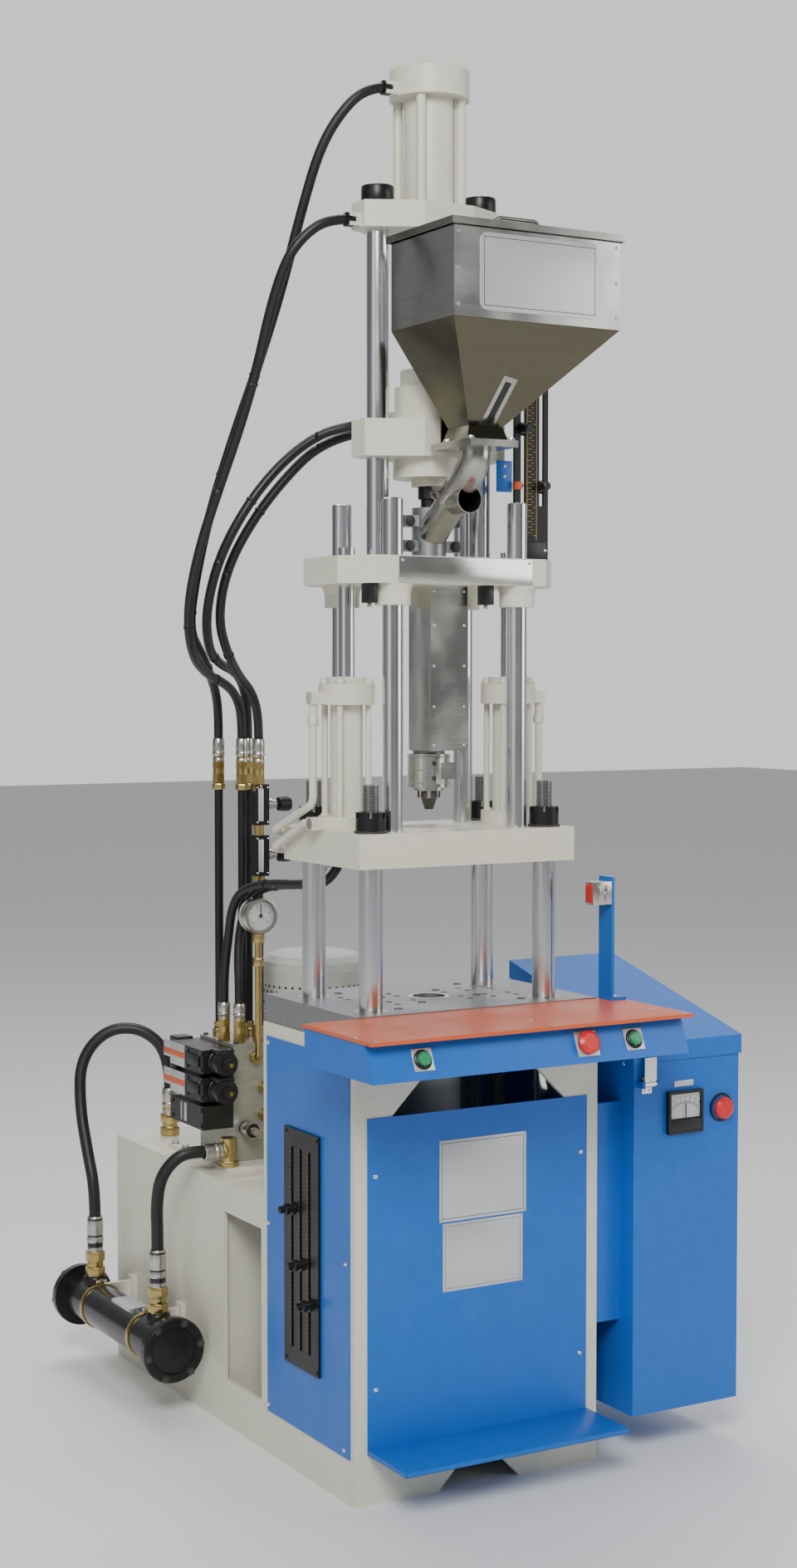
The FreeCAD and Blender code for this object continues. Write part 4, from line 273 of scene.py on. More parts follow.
FINISH = {look: (textured(look, *numbers), slot) for look, (slot, *numbers) in LOOKS.items()}
FINISH["stainless"] = (sheet_metal("stainless", (0.40, 0.39, 0.36), 0.18), "stainless")
FINISH["mirror"] = (sheet_metal("mirror", (0.70, 0.69, 0.65), 0.09), "stainless")
FINISH["hopper"] = (hopper_sheet_painted_reflection(), "stainless")
FINISH["glass"] = (glass(), "silver_fitting")
SLOT_FINISH = {slot: finish for finish, slot in reversed(FINISH.values())}
# Nodes that don't look as their slot does.
NODE_LOOK = {"pump_motor": "cowl", "barrel_cover": "mirror", "nozzle": "mirror",
             "valve_manifold": "manifold", "hopper": "hopper"}

make_studio()

for sub in frame["record"]["subparts"]:
    body = NODES[sub["node"]]
    finish = SLOT_FINISH[sub["material_slot"]]
    if sub["node"] in NODE_LOOK:
        finish = FINISH[NODE_LOOK[sub["node"]]][0]
    if not body.material_slots:
        body.data.materials.append(finish)
    for place in body.material_slots:
        place.material = finish


# ---------- making pieces ----------

ALONG = {"X": (0, math.pi / 2, 0), "Y": (-math.pi / 2, 0, 0), "Z": (0, 0, 0)}
SMOOTH_ANGLE = math.radians(35)


def alone(thing):
    """Chooses one object and nothing else."""
    bpy.ops.object.select_all(action="DESELECT")
    thing.select_set(True)
    bpy.context.view_layer.objects.active = thing


def apply(thing, kind, **settings):
    """Adds a modifier to an object and bakes it in."""
    bpy.context.view_layer.objects.active = thing
    change = thing.modifiers.new("change", kind)
    for name, value in settings.items():
        setattr(change, name, value)
    bpy.ops.object.modifier_apply(modifier="change")


def placed(name, data):
    """A new object in the scene."""
    thing = bpy.data.objects.new(name, data)
    bpy.context.scene.collection.objects.link(thing)
    return thing


def keep(thing, name, look, body, edge=0.0):
    """Bakes an object's place and eased edges into its mesh and gives it to a body."""
    alone(thing)
    bpy.ops.object.transform_apply(location=True, rotation=True, scale=True)
    if edge:
        apply(thing, "BEVEL", width=edge / 1000, segments=2, limit_method="ANGLE")
    bpy.ops.object.shade_smooth_by_angle(angle=SMOOTH_ANGLE)
    thing.name = name
    thing.data.name = name
    finish, slot = FINISH[look]
    thing.data.materials.clear()
    thing.data.materials.append(finish)
    if body:
        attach(thing, body)
    return thing


def slab(name, low, high, look, body, edge=0.4, turn=None):
    """A box between two corners, its edges eased; it may turn about its middle."""
    first, last = P(*low), P(*high)
    bpy.ops.mesh.primitive_cube_add(size=1, location=(first + last) / 2)
    thing = bpy.context.object
    thing.scale = last - first
    if turn:
        thing.rotation_euler = turn
    return keep(thing, name, look, body, edge)


def drum(name, start, axis, radius, length, look, body, edge=0.3, sides=40):
    """A round or many-sided bar along an axis from the middle of its first end."""
    direction = Euler(ALONG[axis]).to_matrix() @ Vector((0, 0, 1))
    bpy.ops.mesh.primitive_cylinder_add(
        vertices=sides, radius=radius / 1000, depth=abs(length) / 1000,
        location=P(*start) + direction * (length / 2000), rotation=ALONG[axis])
    return keep(bpy.context.object, name, look, body, edge)


def lathe(name, profile, start, turn, look, body, steps=40):
    """Pairs of (radius, distance) turned about an axis from a start point."""
    mesh = bpy.data.meshes.new(name)
    mesh.from_pydata([(radius / 1000, 0, away / 1000) for radius, away in profile],
                     [(index, index + 1) for index in range(len(profile) - 1)], [])
    thing = placed(name, mesh)
    alone(thing)
    apply(thing, "SCREW", steps=steps, render_steps=steps, use_merge_vertices=True,
          merge_threshold=0.00001)
    bpy.ops.object.mode_set(mode="EDIT")
    bpy.ops.mesh.select_all(action="SELECT")
    bpy.ops.mesh.normals_make_consistent(inside=False)
    bpy.ops.object.mode_set(mode="OBJECT")
    thing.rotation_euler = ALONG[turn] if isinstance(turn, str) else turn
    thing.location = P(*start)
    return keep(thing, name, look, body)


def merged(name, *things):
    """Several pieces of one finish and body made one piece."""
    bpy.ops.object.select_all(action="DESELECT")
    for thing in things:
        thing.select_set(True)
    bpy.context.view_layer.objects.active = things[0]
    bpy.ops.object.join()
    things[0].name = name
    return things[0]


def slabs(name, look, body, *boxes):
    """Boxes, each two corners and an edge, made one piece."""
    return merged(name, *(slab(name, low, high, look, body, edge) for low, high, edge in boxes))


def border(name, x0, x1, z0, z1, wide, y0, y1, body):
    """Four thin printed lines round a plate that faces the front."""
    slabs(name, "black", body, *(((a, y0, b), (c, y1, d), 0) for a, b, c, d in (
        (x0, z0, x1, z0 + wide), (x0, z1 - wide, x1, z1),
        (x0, z0, x0 + wide, z1), (x1 - wide, z0, x1, z1))))


def copies(name, model, places, body):
    """Copies of a piece made at the frame's foot, one at each place."""
    for number, place in enumerate(places, 1):
        mesh = model.data.copy()
        mesh.transform(Matrix.Translation(P(*place) - P(0, 0, 0)))
        piece = placed(f"{name}_{number:02d}", mesh)
        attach(piece, body)
    bpy.data.objects.remove(model)


def row(name, low, high, step, count, look, body):
    """A small box repeated at an even step, as one piece."""
    thing = slab(name, low, high, look, None, 0)
    apply(thing, "ARRAY", count=count, use_relative_offset=False, use_constant_offset=True,
          constant_offset_displace=[value / 1000 for value in step])
    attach(thing, body)


def wheel(name, model, centre, axis, turns, body):
    """Copies of a piece turned about an axis by degrees, all one piece."""
    middle = Matrix.Translation(P(*centre))
    ring = bmesh.new()
    for degrees in turns:
        mesh = model.data.copy()
        mesh.transform(middle @ Matrix.Rotation(math.radians(degrees), 4, axis)
                       @ middle.inverted())
        ring.from_mesh(mesh)
        bpy.data.meshes.remove(mesh)
    ring.to_mesh(model.data)
    ring.free()
    model.name = name
    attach(model, body)


def carve(thing, *tools):
    """Cuts tools out of a piece."""
    for tool in tools:
        apply(thing, "BOOLEAN", operation="DIFFERENCE", solver="EXACT", object=tool)
        bpy.data.objects.remove(tool)
    return thing


def pan_screw(axis, radius, high):
    """Round-headed screw with a cross slot, its axis pointing out along -X, -Y or +Z."""
    away = -1 if axis in "XY" else 1
    profile = [(0, high * away), (radius * 0.45, high * 0.96 * away),
               (radius * 0.8, high * 0.72 * away), (radius, high * 0.25 * away), (radius, 0)]
    head = lathe("screw", profile, (0, 0, 0), axis, "chrome", None, 20)
    wide, thin, deep = radius * 0.62, radius * 0.13, high * 0.3
    middle = [0, 0, 0]
    middle["XYZ".index(axis)] = high * 0.95 * away
    tools = []
    for first, second in ((wide, thin), (thin, wide)):
        size = {"X": (deep, first, second), "Y": (first, deep, second),
                "Z": (first, second, deep)}[axis]
        tools.append(slab("tool", [m - half for m, half in zip(middle, size)],
                          [m + half for m, half in zip(middle, size)], "chrome", None, 0))
    return carve(head, *tools)


def hex_bolt(axis, radius, high, look):
    """Hexagon head on a thin washer, pointing out along an axis by a signed height."""
    washer = drum("washer", (0, 0, 0), axis, radius * 1.25, high * 0.18, look, None, 0.2, 24)
    head = drum("head", (0, 0, 0), axis, radius, high, look, None, radius * 0.08, 6)
    return merged("bolt", head, washer)


def socket_screw(axis, radius, high, look="dark"):
    """Socket cap screw, pointing out along an axis by a signed height."""
    head = drum("cap", (0, 0, 0), axis, radius, high, look, None, radius * 0.1, 24)
    start = [0, 0, 0]
    start["XYZ".index(axis)] = high * 0.4
    hollow = drum("tool", start, axis, radius * 0.5, high, look, None, 0, 6)
    return carve(head, hollow)


# ---------- hoses ----------

TUBE_SIDES = 20


def spline(name, points):
    """A smooth open curve that has these control points in millimetres."""
    curve = bpy.data.curves.new(name, "CURVE")
    curve.dimensions = "3D"
    curve.resolution_u = 12
    line = curve.splines.new("NURBS")
    line.points.add(len(points) - 1)
    for index, point in enumerate(points):
        line.points[index].co = (*P(*point), 1)
    line.order_u = 3
    line.use_endpoint_u = True
    return placed(name, curve)


def read_line(name, points):
    """The smooth curve's own points, from its first end to its last."""
    guide = spline(name, points)
    mesh = bpy.data.meshes.new_from_object(guide)
    line = [vertex.co.copy() for vertex in mesh.vertices]
    bpy.data.meshes.remove(mesh)
    bpy.data.objects.remove(guide)
    return line


def rings(line, radius):
    """Circles of points round a line, none twisted against the one before."""
    found = []
    steep = abs((line[1] - line[0]).normalized().z) > 0.9
    side = Vector((1, 0, 0)) if steep else Vector((0, 0, 1))
    for index, point in enumerate(line):
        ahead = line[min(index + 1, len(line) - 1)] - line[max(index - 1, 0)]
        ahead.normalize()
        side = (side - ahead * side.dot(ahead)).normalized()
        other = ahead.cross(side)
        found.append([
            point + (side * math.cos(turn) + other * math.sin(turn)) * radius
            for turn in (2 * math.pi * step / TUBE_SIDES for step in range(TUBE_SIDES))])
    return found


def tube(name, line, diameter, look):
    """A closed round tube along a line."""
    corners = [corner for ring in rings(line, diameter / 2) for corner in ring]
    around = range(TUBE_SIDES)
    last = len(corners) - TUBE_SIDES
    faces = [(level + step, level + (step + 1) % TUBE_SIDES,
              level + TUBE_SIDES + (step + 1) % TUBE_SIDES, level + TUBE_SIDES + step)
             for level in range(0, last, TUBE_SIDES) for step in around]
    faces.append(tuple(reversed(around)))
    faces.append(tuple(last + step for step in around))
    mesh = bpy.data.meshes.new(name)
    mesh.from_pydata(corners, [], faces)
    mesh.update()
    for face in mesh.polygons:
        face.use_smooth = len(face.vertices) == 4
    finish, slot = FINISH[look]
    mesh.materials.append(finish)
    piece = placed(name, mesh)
    return piece


def nearest(line, place):
    """The number of the line's point nearest to a place in millimetres."""
    return min(range(len(line)), key=lambda index: (line[index] - P(*place)).length)


# Diameters of a hose and of a tie round it, and half the width of a tie.
HOSE = 0.018
TIE_ROUND = HOSE + 0.0026
TIE_HALF = 0.0024
# Each hose from its moving end to its fixed one, in millimetres: its points, then its
# stretches, each with its length in metres, the place where it ends, the two bodies that
# hold its ends, and between which two places it bends from one to the other.
HOSES = {
    "cap": ([
        (153.5, 170, 2454), (123, 171, 2449), (85, 180, 2418), (48, 206, 2351), (30, 248, 2238),
        (14, 290, 2112), (-12, 334, 1978), (-46, 373, 1845), (-72, 414, 1715), (-77, 464, 1600),
        (-63, 524, 1508), (3, 608, 1464), (54, 678, 1423), (86, 720, 1387), (101, 742, 1345),
        (101, 742, 1298)], [
        (0.835, (-72, 414, 1715), "clamp", "carriage", (-62, 392), (110, 170)),
        (0.596, None, "base", "clamp", (98, 735), (-68, 440))]),
    "plate": ([
        (80, 170, 2218), (42, 170, 2214), (4, 180, 2188), (-25, 196, 2146), (-38, 231, 2068),
        (-42, 277, 1966), (-55, 321, 1864), (-76, 365, 1758), (-96, 410, 1648), (-97, 458, 1540),
        (-60, 517, 1458), (12, 602, 1424), (76, 652, 1406), (112, 682, 1382), (132, 700, 1344),
        (132, 700, 1298)], [
        (0.562, (-76, 365, 1758), "clamp", "carriage", (-72, 353), (40, 170)),
        (0.683, None, "base", "clamp", (128, 697), (-80, 379))]),
    "motor_left": ([
        (216, 250, 1886), (216, 306, 1886), (188, 358, 1884), (133, 386, 1866), (62, 396, 1810),
        (-3, 406, 1730), (-46, 432, 1635), (-50, 478, 1540), (-14, 543, 1472), (38, 606, 1446),
        (103, 667, 1430), (137, 702, 1402), (156, 722, 1353), (156, 722, 1298)], [
        (0.1765, (133, 386, 1866), "carriage", "injection", (150, 374), (214, 285)),
        (0.297, (-46, 432, 1635), "clamp", "carriage", (-40, 425), (130, 388)),
        (0.542, None, "base", "clamp", (152, 716), (-44, 440))]),
    "motor_right": ([
        (278, 250, 1886), (278, 315, 1886), (232, 380, 1880), (150, 412, 1850), (85, 425, 1785),
        (25, 440, 1705), (-15, 462, 1618), (-13, 503, 1530), (28, 550, 1466), (85, 613, 1420),
        (122, 637, 1393), (144, 650, 1348), (144, 650, 1298)], [
        (0.2345, (150, 412, 1850), "carriage", "injection", (170, 405), (274, 290)),
        (0.290, (-15, 462, 1618), "clamp", "carriage", (-8, 456), (146, 412)),
        (0.427, None, "base", "clamp", (140, 648), (-12, 478))]),
    "carriage_left": ([
        (118, 330, 1097), (118, 331, 1076), (118, 352, 1056), (119, 388, 1037), (120, 440, 1030),
        (117, 515, 1026), (110, 590, 1018), (99, 645, 1000), (94, 672, 962), (93, 682, 912),
        (87, 685, 862), (83, 683, 820), (83, 683, 777)], [
        (0.581, None, "base", "clamp", (99, 668), (118, 356))]),
    "carriage_right": ([
        (150, 330, 1097), (150, 331, 1076), (150, 352, 1056), (149, 388, 1036), (146, 440, 1029),
        (140, 510, 1024), (133, 580, 1016), (122, 632, 998), (113, 655, 958), (106, 662, 910),
        (101, 656, 862), (100, 650, 820), (100, 650, 777)], [
        (0.5655, None, "base", "clamp", (125, 640), (150, 356))]),
}
# Cable ties: the hoses that each holds and where it sits.
TIES = (
    (("cap", "plate"), (-60, 488, 1530)), (("cap", "plate"), (35, 640, 1428)),
    (("motor_left", "motor_right"), (30, 560, 1455)), (("cap", "plate"), (-20, 335, 1960)),
    (("cap", "plate"), (-70, 388, 1790)), (("motor_left", "motor_right"), (10, 420, 1740)),
    (("carriage_left", "carriage_right"), (132, 560, 1022)),
)


def ties_on(name, line, begin, end):
    """Bands of the cable ties that sit on a stretch of a hose."""
    bands = []
    for order, (held, place) in enumerate(TIES, 1):
        spot = nearest(line, place)
        if name in held and begin + 2 < spot < end - 2:
            ahead = (line[spot + 1] - line[spot - 1]).normalized()
            short = [line[spot] + ahead * away for away in (-TIE_HALF, TIE_HALF)]
            bands.append(tube(f"tie_{order}_{name}", short, TIE_ROUND, "black"))
    return bands


hose_pieces = []
for name, (points, stretches) in HOSES.items():
    line = read_line(name, points)
    begin = 0
    for number, (length, stop, fixed, moving, first, second) in enumerate(stretches, 1):
        end = nearest(line, stop) if stop else len(line) - 1
        part = line[begin:end + 1]
        piece = tube(f"hose_{name}_{number}", part, HOSE, "rubber")
        bands = ties_on(name, line, begin, end)
        for thing in [piece] + bands:
            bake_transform(thing)
        hose_pieces.append(piece)
        begin = end
for piece in hose_pieces:
    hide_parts("hose_bundle")

# Each cooler hose: its length and its points, from the tank to the cooler.
COOLER_HOSE = 0.024
COOLER_HOSES = {
    "rear": (0.622, [
        (95, 972, 560), (95, 972, 635), (46, 1000, 690), (-22, 1032, 688), (-72, 1052, 625),
        (-80, 1035, 530), (-78, 1000, 440), (-75, 970, 370), (-75, 970, 310)]),
    "front": (0.287, [
        (28, 600, 505), (-12, 600, 509), (-52, 607, 504), (-80, 628, 462), (-79, 650, 400),
        (-75, 655, 355), (-75, 655, 310)]),
}
for side, (length, route) in COOLER_HOSES.items():
    hose = spline(f"cooler_hose_{side}_tube", route)
    hose.data.bevel_depth = COOLER_HOSE / 2
    hose.data.bevel_resolution = 6
    hose.data.use_fill_caps = True
    hose.data.materials.append(FINISH["rubber"][0])
    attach(hose, "base")
    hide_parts(f"cooler_hose_{side}")

# ---------- frame, panels and tank ----------

# The press axis, and the heights of the table's top and of the tank's cover.
AXIS = (247, 170)
TABLE_TOP = 844
COVER_TOP = 473

copies("front_screw", pan_screw("Y", 4.6, 2.6),
       [(x, -2, z) for x, z in ((39, 570), (40, 201), (462, 202), (463, 568))], "base")
SIDE_SCREWS = ((322, 759), (321, 428), (29, 418), (323, 93), (35, 93), (29, 756))
copies("left_screw", pan_screw("X", 4.6, 2.6), [(-2, y, z) for y, z in SIDE_SCREWS], "base")
copies("right_screw", drum("head", (0, 0, 0), "X", 4.6, 2.4, "chrome", None, 0.9, 20),
       [(502, y, z) for y, z in SIDE_SCREWS], "base")
slabs("foot_plate", "blue", "base",
      ((22.6, -134.4, 97.9), (477.4, -2, 99.4), 0.5),
      ((22.6, -134.4, 90.6), (477.4, -133.1, 99.0), 0.5),
      ((22.6, -134.4, 90.6), (23.9, -2, 99.0), 0.5),
      ((476.1, -134.4, 90.6), (477.4, -2, 99.0), 0.5),
      ((22.6, -134.4, 90.6), (477.4, -2, 91.9), 0.5))


def label_plate(name, x0, x1, z0, z1, wide):
    """Bare metal label on the front panel, with a thin dark border and corner rivets."""
    slab(name, (x0, -3, z0), (x1, -2, z1), "label", "base", 0.3)
    border(f"{name}_border", x0 + 5, x1 - 5, z0 + 5, z1 - 5, wide, -3.15, -2.95, "base")
    rivet = lathe("rivet", [(0, -0.9), (1.2, -0.7), (2.0, 0)], (0, 0, 0), "Y", "silver", None, 16)
    copies(f"{name}_rivet", rivet,
           [(x, -3, z) for x in (x0 + 3, x1 - 3) for z in (z0 + 3, z1 - 3)], "base")


label_plate("upper_label", 166, 345, 475, 618, 0.9)
label_plate("lower_label", 173, 338, 352, 472, 0.5)

# Stroke scale on the left panel: printed ticks, stops on two of its slots, screws.
for number, y in enumerate((152.5, 185.0, 217.5), 1):
    for kind, wide, high, step, count in (("tick", 10, 0.8, 8, 45), ("mark", 13, 1, 40, 9)):
        row(f"stroke_{kind}_{number}", (-7.4, y + 6, 232), (-6.9, y + wide, 232 + high),
            (0, 0, step), count, "gold", "base")
for number, (y, z) in enumerate(((217.5, 476), (185, 382), (152.5, 317)), 1):
    lathe(f"stroke_stop_{number}", [
        (0, -27), (5, -27), (6.5, -26), (6.5, -17), (9, -16), (10, -15), (10, -8), (7, -7),
        (7, -3), (12, -3), (12, 0.4), (0, 0.4)], (-7, y, z), "X", "black", "base", 28)
copies("stroke_scale_screw", socket_screw("X", 3.2, -2.6),
       [(-7, y, z) for y in (127, 243) for z in (203, 612)], "base")

copies("cover_bolt", hex_bolt("Z", 7.5, 6, "silver"),
       [(x, y, COVER_TOP) for x, y in ((52, 592), (230, 592), (408, 592), (52, 848), (230, 848),
                                       (408, 848), (52, 800), (408, 720))], "base")
lathe("table_ring", [(30.2, 0), (30.2, 1.0), (37, 1.0), (38, 0)], (*AXIS, TABLE_TOP), "Z",
      "chrome", "base", 48)
for number, (x, y) in enumerate(((197, 110), (297, 230), (330, 140), (164, 200), (120, 60),
                                 (374, 60), (120, 280), (374, 280)), 1):
    lathe(f"table_bolt_{number}", [
        (0, 0.15), (4.6, 0.15), (4.8, 0.9), (7.6, 1.0), (8, 0)], (x, y, TABLE_TOP), "Z", "dark",
        "base", 24)

# ---------- board, shelf, sensor ----------

flat = lathe("flat", [(0, 0.2), (2.1, 0.2), (2.4, 0.7), (5.2, 0.6), (5.6, 0)], (0, 0, 0), "Z",
             "chrome", None, 24)
copies("board_screw", flat,
       [(x, y, 842) for x, y in ((-90, -172), (255, -160), (508, -152), (-88, -8), (244, -8),
                                 (528, -8), (-88, -222), (255, -222), (528, -222))], "base")
slab("board_edge", (-98.3, -230.4, 835.8), (540.3, -229.6, 842.2), "orange", "base", 0)

# The shelf's sloping face: which way it looks, and how far its slabs lean.
SHELF_OUT = (-0.9144, 0.4047)
LEAN = math.atan2(0.9144, 0.4047)


def on_shelf(x, lift):
    """A point over the middle of the shelf's sloping face."""
    return (x, -218.5 + lift * SHELF_OUT[0], 805.5 + lift * SHELF_OUT[1])


for name, x, plate, rim, hole in (("left_start", 4, 19, 17, 12.2), ("stop", 324, 22, 16, 8),
                                  ("right_start", 421, 19, 17, 12.2)):
    middle = on_shelf(x, 1.0)
    slab(f"{name}_legend", (middle[0] - plate, middle[1] - plate, middle[2] - 0.8),
         (middle[0] + plate, middle[1] + plate, middle[2] + 0.8), "label", "base", 1.2,
         (LEAN, 0, 0))
    lathe(f"{name}_bezel", [
        (hole, 1.6), (hole, 4.2), (rim - 3, 4.6), (rim - 1, 3.6), (rim, 1.6)],
        on_shelf(x, 0), (LEAN, 0, 0), "black", "base", 40)

slabs("sensor_case", "silver", "base",
      ((464.2, -36.0, 1015.2), (505.0, -10.4, 1056.8), 1.5),
      ((474, -38.4, 1022), (481, -35.8, 1050), 0.6),
      ((490, -38.4, 1022), (497, -35.8, 1050), 0.6),
      ((480.5, -38.4, 1033), (490.5, -35.8, 1039), 0.6))
slab("sensor_lens", (462.6, -33.4, 1019), (464.6, -13.2, 1053), "red", "base", 0.6)
slab("sensor_shade", (461.9, -31.0, 1023), (463.0, -15.6, 1049), "glass", "base", 0.4)
copies("sensor_screw", pan_screw("Y", 2.6, 1.6),
       [(x, -38.4, z) for x in (477.5, 493.5) for z in (1026, 1046)], "base")
copies("post_screw", pan_screw("Z", 3.6, 2.4), [(520, y, 848) for y in (-24, -6)], "base")

# ---------- cabinet ----------

slab("meter_face", (632.6, -41.5, 617), (699.4, -40.9, 661.6), "white", "base", 0.1)
slab("meter_mask", (632.4, -46.2, 594.4), (699.6, -45.3, 614), "black", "base", 0.3)
slab("meter_glass", (632.2, -46.0, 614), (699.8, -45.5, 662), "glass", "base", 0.2)


def dial_marks(name, centre, inner, outer, swing, count, wide):
    """Radial ticks of a dial that faces the front, to a number of degrees on each side."""
    x, y, z = centre
    tick = slab("tick", (x - wide / 2, y - 0.12, z + inner), (x + wide / 2, y + 0.12, z + outer),
                "black", None, 0)
    step = 2 * swing / (count - 1)
    wheel(name, tick, centre, "Y", [step * number - swing for number in range(count)], "base")


def dial_numbers(name, centre, radius, swing, words, high):
    """Plain numbers round a dial that faces the front."""
    x, y, z = centre
    for number, word in enumerate(words):
        angle = math.radians(2 * swing * number / (len(words) - 1) - swing)
        bpy.ops.object.text_add(rotation=(math.pi / 2, 0, 0), location=P(
            x + math.sin(angle) * radius, y, z + math.cos(angle) * radius))
        thing = bpy.context.object
        thing.data.body = word
        thing.data.size = high / 1000
        thing.data.align_x = "CENTER"
        thing.data.align_y = "CENTER"
        thing.data.extrude = 0.00008
        alone(thing)
        bpy.ops.object.convert(target="MESH")
        keep(bpy.context.object, f"{name}_{number + 1}", "black", "base")


METER = (666, -41.7, 605)
dial_marks("meter_ticks", METER, 38, 43, 42, 31, 0.4)
dial_marks("meter_marks", METER, 38, 46, 42, 7, 0.8)
dial_numbers("meter_number", METER, 50, 40, ("0", "5", "10", "15", "20", "25", "30"), 5)
slab("meter_tag", (645, -37.2, 674), (688, -36, 685), "label", "base", 0.2)
slabs("latch_hook", "chrome", "lid",
      ((572.5, -37.6, 742), (593.5, -36.2, 776), 0.3),
      ((575, -43.5, 742), (591, -37.0, 744.2), 0.4),
      ((575, -44.6, 736), (591, -43.0, 744.2), 0.4))
slab("latch_plate", (572, -37.2, 668), (594, -36, 702), "chrome", "base", 0.3)
copies("latch_screw", pan_screw("Y", 2.2, 1.2),
       [(x, -37.2, z) for z in (673, 697) for x in (577, 589)], "base")
lathe("stop_collar", [(22.5, 0), (22.5, -1.4), (23, -1.8), (26, -1.8), (27, 0)],
      (753, -36, 627), "Y", "black", "base", 40)
LID_SLOPE = 0.261
copies("lid_screw", pan_screw("X", 3.4, 2.0),
       [(551.2, y, 714 + (y + 36) * LID_SLOPE) for y in (-10, 120, 250, 345)], "lid")

# ---------- hydraulics ----------

# Turned parts of a valve's coils: look, steps, and a profile measured out from the valve.
COIL_PARTS = {
    "coil": ("black", 36, ((23.4, 1), (24.6, 3), (24.6, 9), (23.4, 10), (23.4, 30), (24.6, 31),
                           (24.6, 37), (22, 42.4), (12.6, 43.4))),
    "coil_nut": ("black", 24, ((12, 42.6), (12, 50), (10.5, 52), (10.5, 56), (7.0, 57.4),
                               (0, 57.6))),
    "coil_pin": ("brass", 16, ((4.4, 57), (4.2, 60.6), (0, 61.2))),
}
for number, low in enumerate((652, 597), 1):
    middle = low + 23
    for side, y, away in (("front", 626, -1), ("rear", 776, 1)):
        for part, (look, steps, profile) in COIL_PARTS.items():
            lathe(f"{part}_{side}_{number}", [(radius, far * away) for radius, far in profile],
                  (42, y, middle), "Y", look, "base", steps)
        near, far = (y - 38, y - 2) if away < 0 else (y + 2, y + 38)
        slab(f"coil_box_{side}_{number}", (24, near, middle + 19), (60, far, middle + 27),
             "black", "base", 2)
    slabs(f"valve_plate_{number}", "label", "base",
          ((7.6, 708, low + 1), (9, 775, low + 45), 0.3),
          ((7.6, 776, low + 13), (9, 806, low + 45), 0.3))
    slab(f"valve_band_{number}", (7.2, 708, low + 18), (7.7, 806, low + 30), "orange", "base",
         0.1)
    copies(f"valve_screw_{number}", socket_screw("X", 4.2, -3.4),
           [(9, y, z) for y in (634, 696) for z in (low + 8, low + 38)], "base")
    slab(f"valve_rib_{number}", (5.6, 640, low + 12), (9, 690, low + 34), "black", "base", 1.5)
copies("relief_screw", socket_screw("X", 4.2, -3.4),
       [(9, y, z) for y in (634, 768) for z in (550, 580)], "base")
slab("relief_label", (8.4, 700, 548), (9, 712, 584), "label", "base", 0.1)
slab("relief_label_2", (8.4, 722, 548), (9, 727, 584), "label", "base", 0.1)
lathe("relief_knob", [
    (0, -50), (7, -50), (8, -48), (8, -36), (15.6, -35.4), (16.4, -33), (16.4, -12),
    (15.4, -10), (14.3, -10)], (100, 626, 539), "Y", "silver", "base", 28)
for number, z in enumerate((615, 562), 1):
    drum(f"plug_head_{number}", (139, 600, z), "Y", 14, 12, "brass", "base", 0.8, 6)
copies("manifold_screw", socket_screw("Z", 5, 4),
       [(x, y, 704) for x, y in ((84, 770), (156, 770), (158, 634), (84, 634))], "base")

# Lengthwise profile of a crimped hose end, in shares of its radius and of its length.
CRIMPS = ((0.80, 0.0), (0.96, 0.01), (0.96, 0.12), (0.84, 0.17), (0.86, 0.22), (1.0, 0.27),
          (1.03, 0.33), (1.0, 0.40), (0.93, 0.44), (0.97, 0.50), (0.99, 0.72), (0.94, 0.96),
          (0.86, 1.0), (0.76, 1.0))


def ferrule(name, start, axis, length, radius, body):
    """Crimped hose end: a bright sleeve with grooves, along an axis by a signed length."""
    lathe(name, [(share * radius, away * length) for share, away in CRIMPS], start, axis,
          "silver", body, 32)


for name, x, y in (("first", 101, 742), ("second", 132, 700), ("third", 144, 650),
                   ("fourth", 156, 722)):
    ferrule(f"pipe_ferrule_{name}", (x, y, 1253), "Z", 46, 12.2, "base")
    drum(f"pipe_nut_{name}", (x, y, 1197), "Z", 13.4, 12, "brass", "base", 1.0, 6)
    drum(f"pipe_foot_{name}", (x, y, 704), "Z", 14, 16, "brass", "base", 1.0, 6)
    drum(f"pipe_collar_{name}", (x, y, 720), "Z", 11, 14, "brass", "base", 0.8, 24)
for name, x, y in (("left", 83, 683), ("right", 100, 650)):
    ferrule(f"tail_ferrule_{name}", (x, y, 747), "Z", 34, 12.2, "base")

for number, low in enumerate((1130, 1030), 1):
    slab(f"regulator_label_{number}", (137, 637.2, low + 8), (148, 638, low + 72), "label",
         "base", 0.2)
    copies(f"regulator_screw_{number}", pan_screw("Y", 2.2, 1.4),
           [(x, 638, z) for x in (135.5, 158) for z in (low + 6, low + 74)], "base")
    middle = low + 40
    lathe(f"regulator_collar_{number}", [
        (7.4, 0.4), (11, 0.4), (12, 1.6), (12, 9), (11, 10), (9, 11), (9, 19), (8, 20),
        (7.3, 20)], (161, 650, middle), "X", "silver", "base", 28)
    body = "knob_upper" if number == 1 else "knob_lower"
    lathe(f"knob_cap_{number}", [
        (0, 1.6), (8, 1.4), (9.5, 0.2), (9.8, -1.5)], (211.3, 650, middle), "X", "silver", body,
        32)
    rib = drum("rib", (192, 650, middle + 13.3), "X", 1.1, 17, "black", None, 0, 6)
    wheel(f"knob_knurl_{number}", rib, (192, 650, middle), "X", range(0, 360, 18), body)

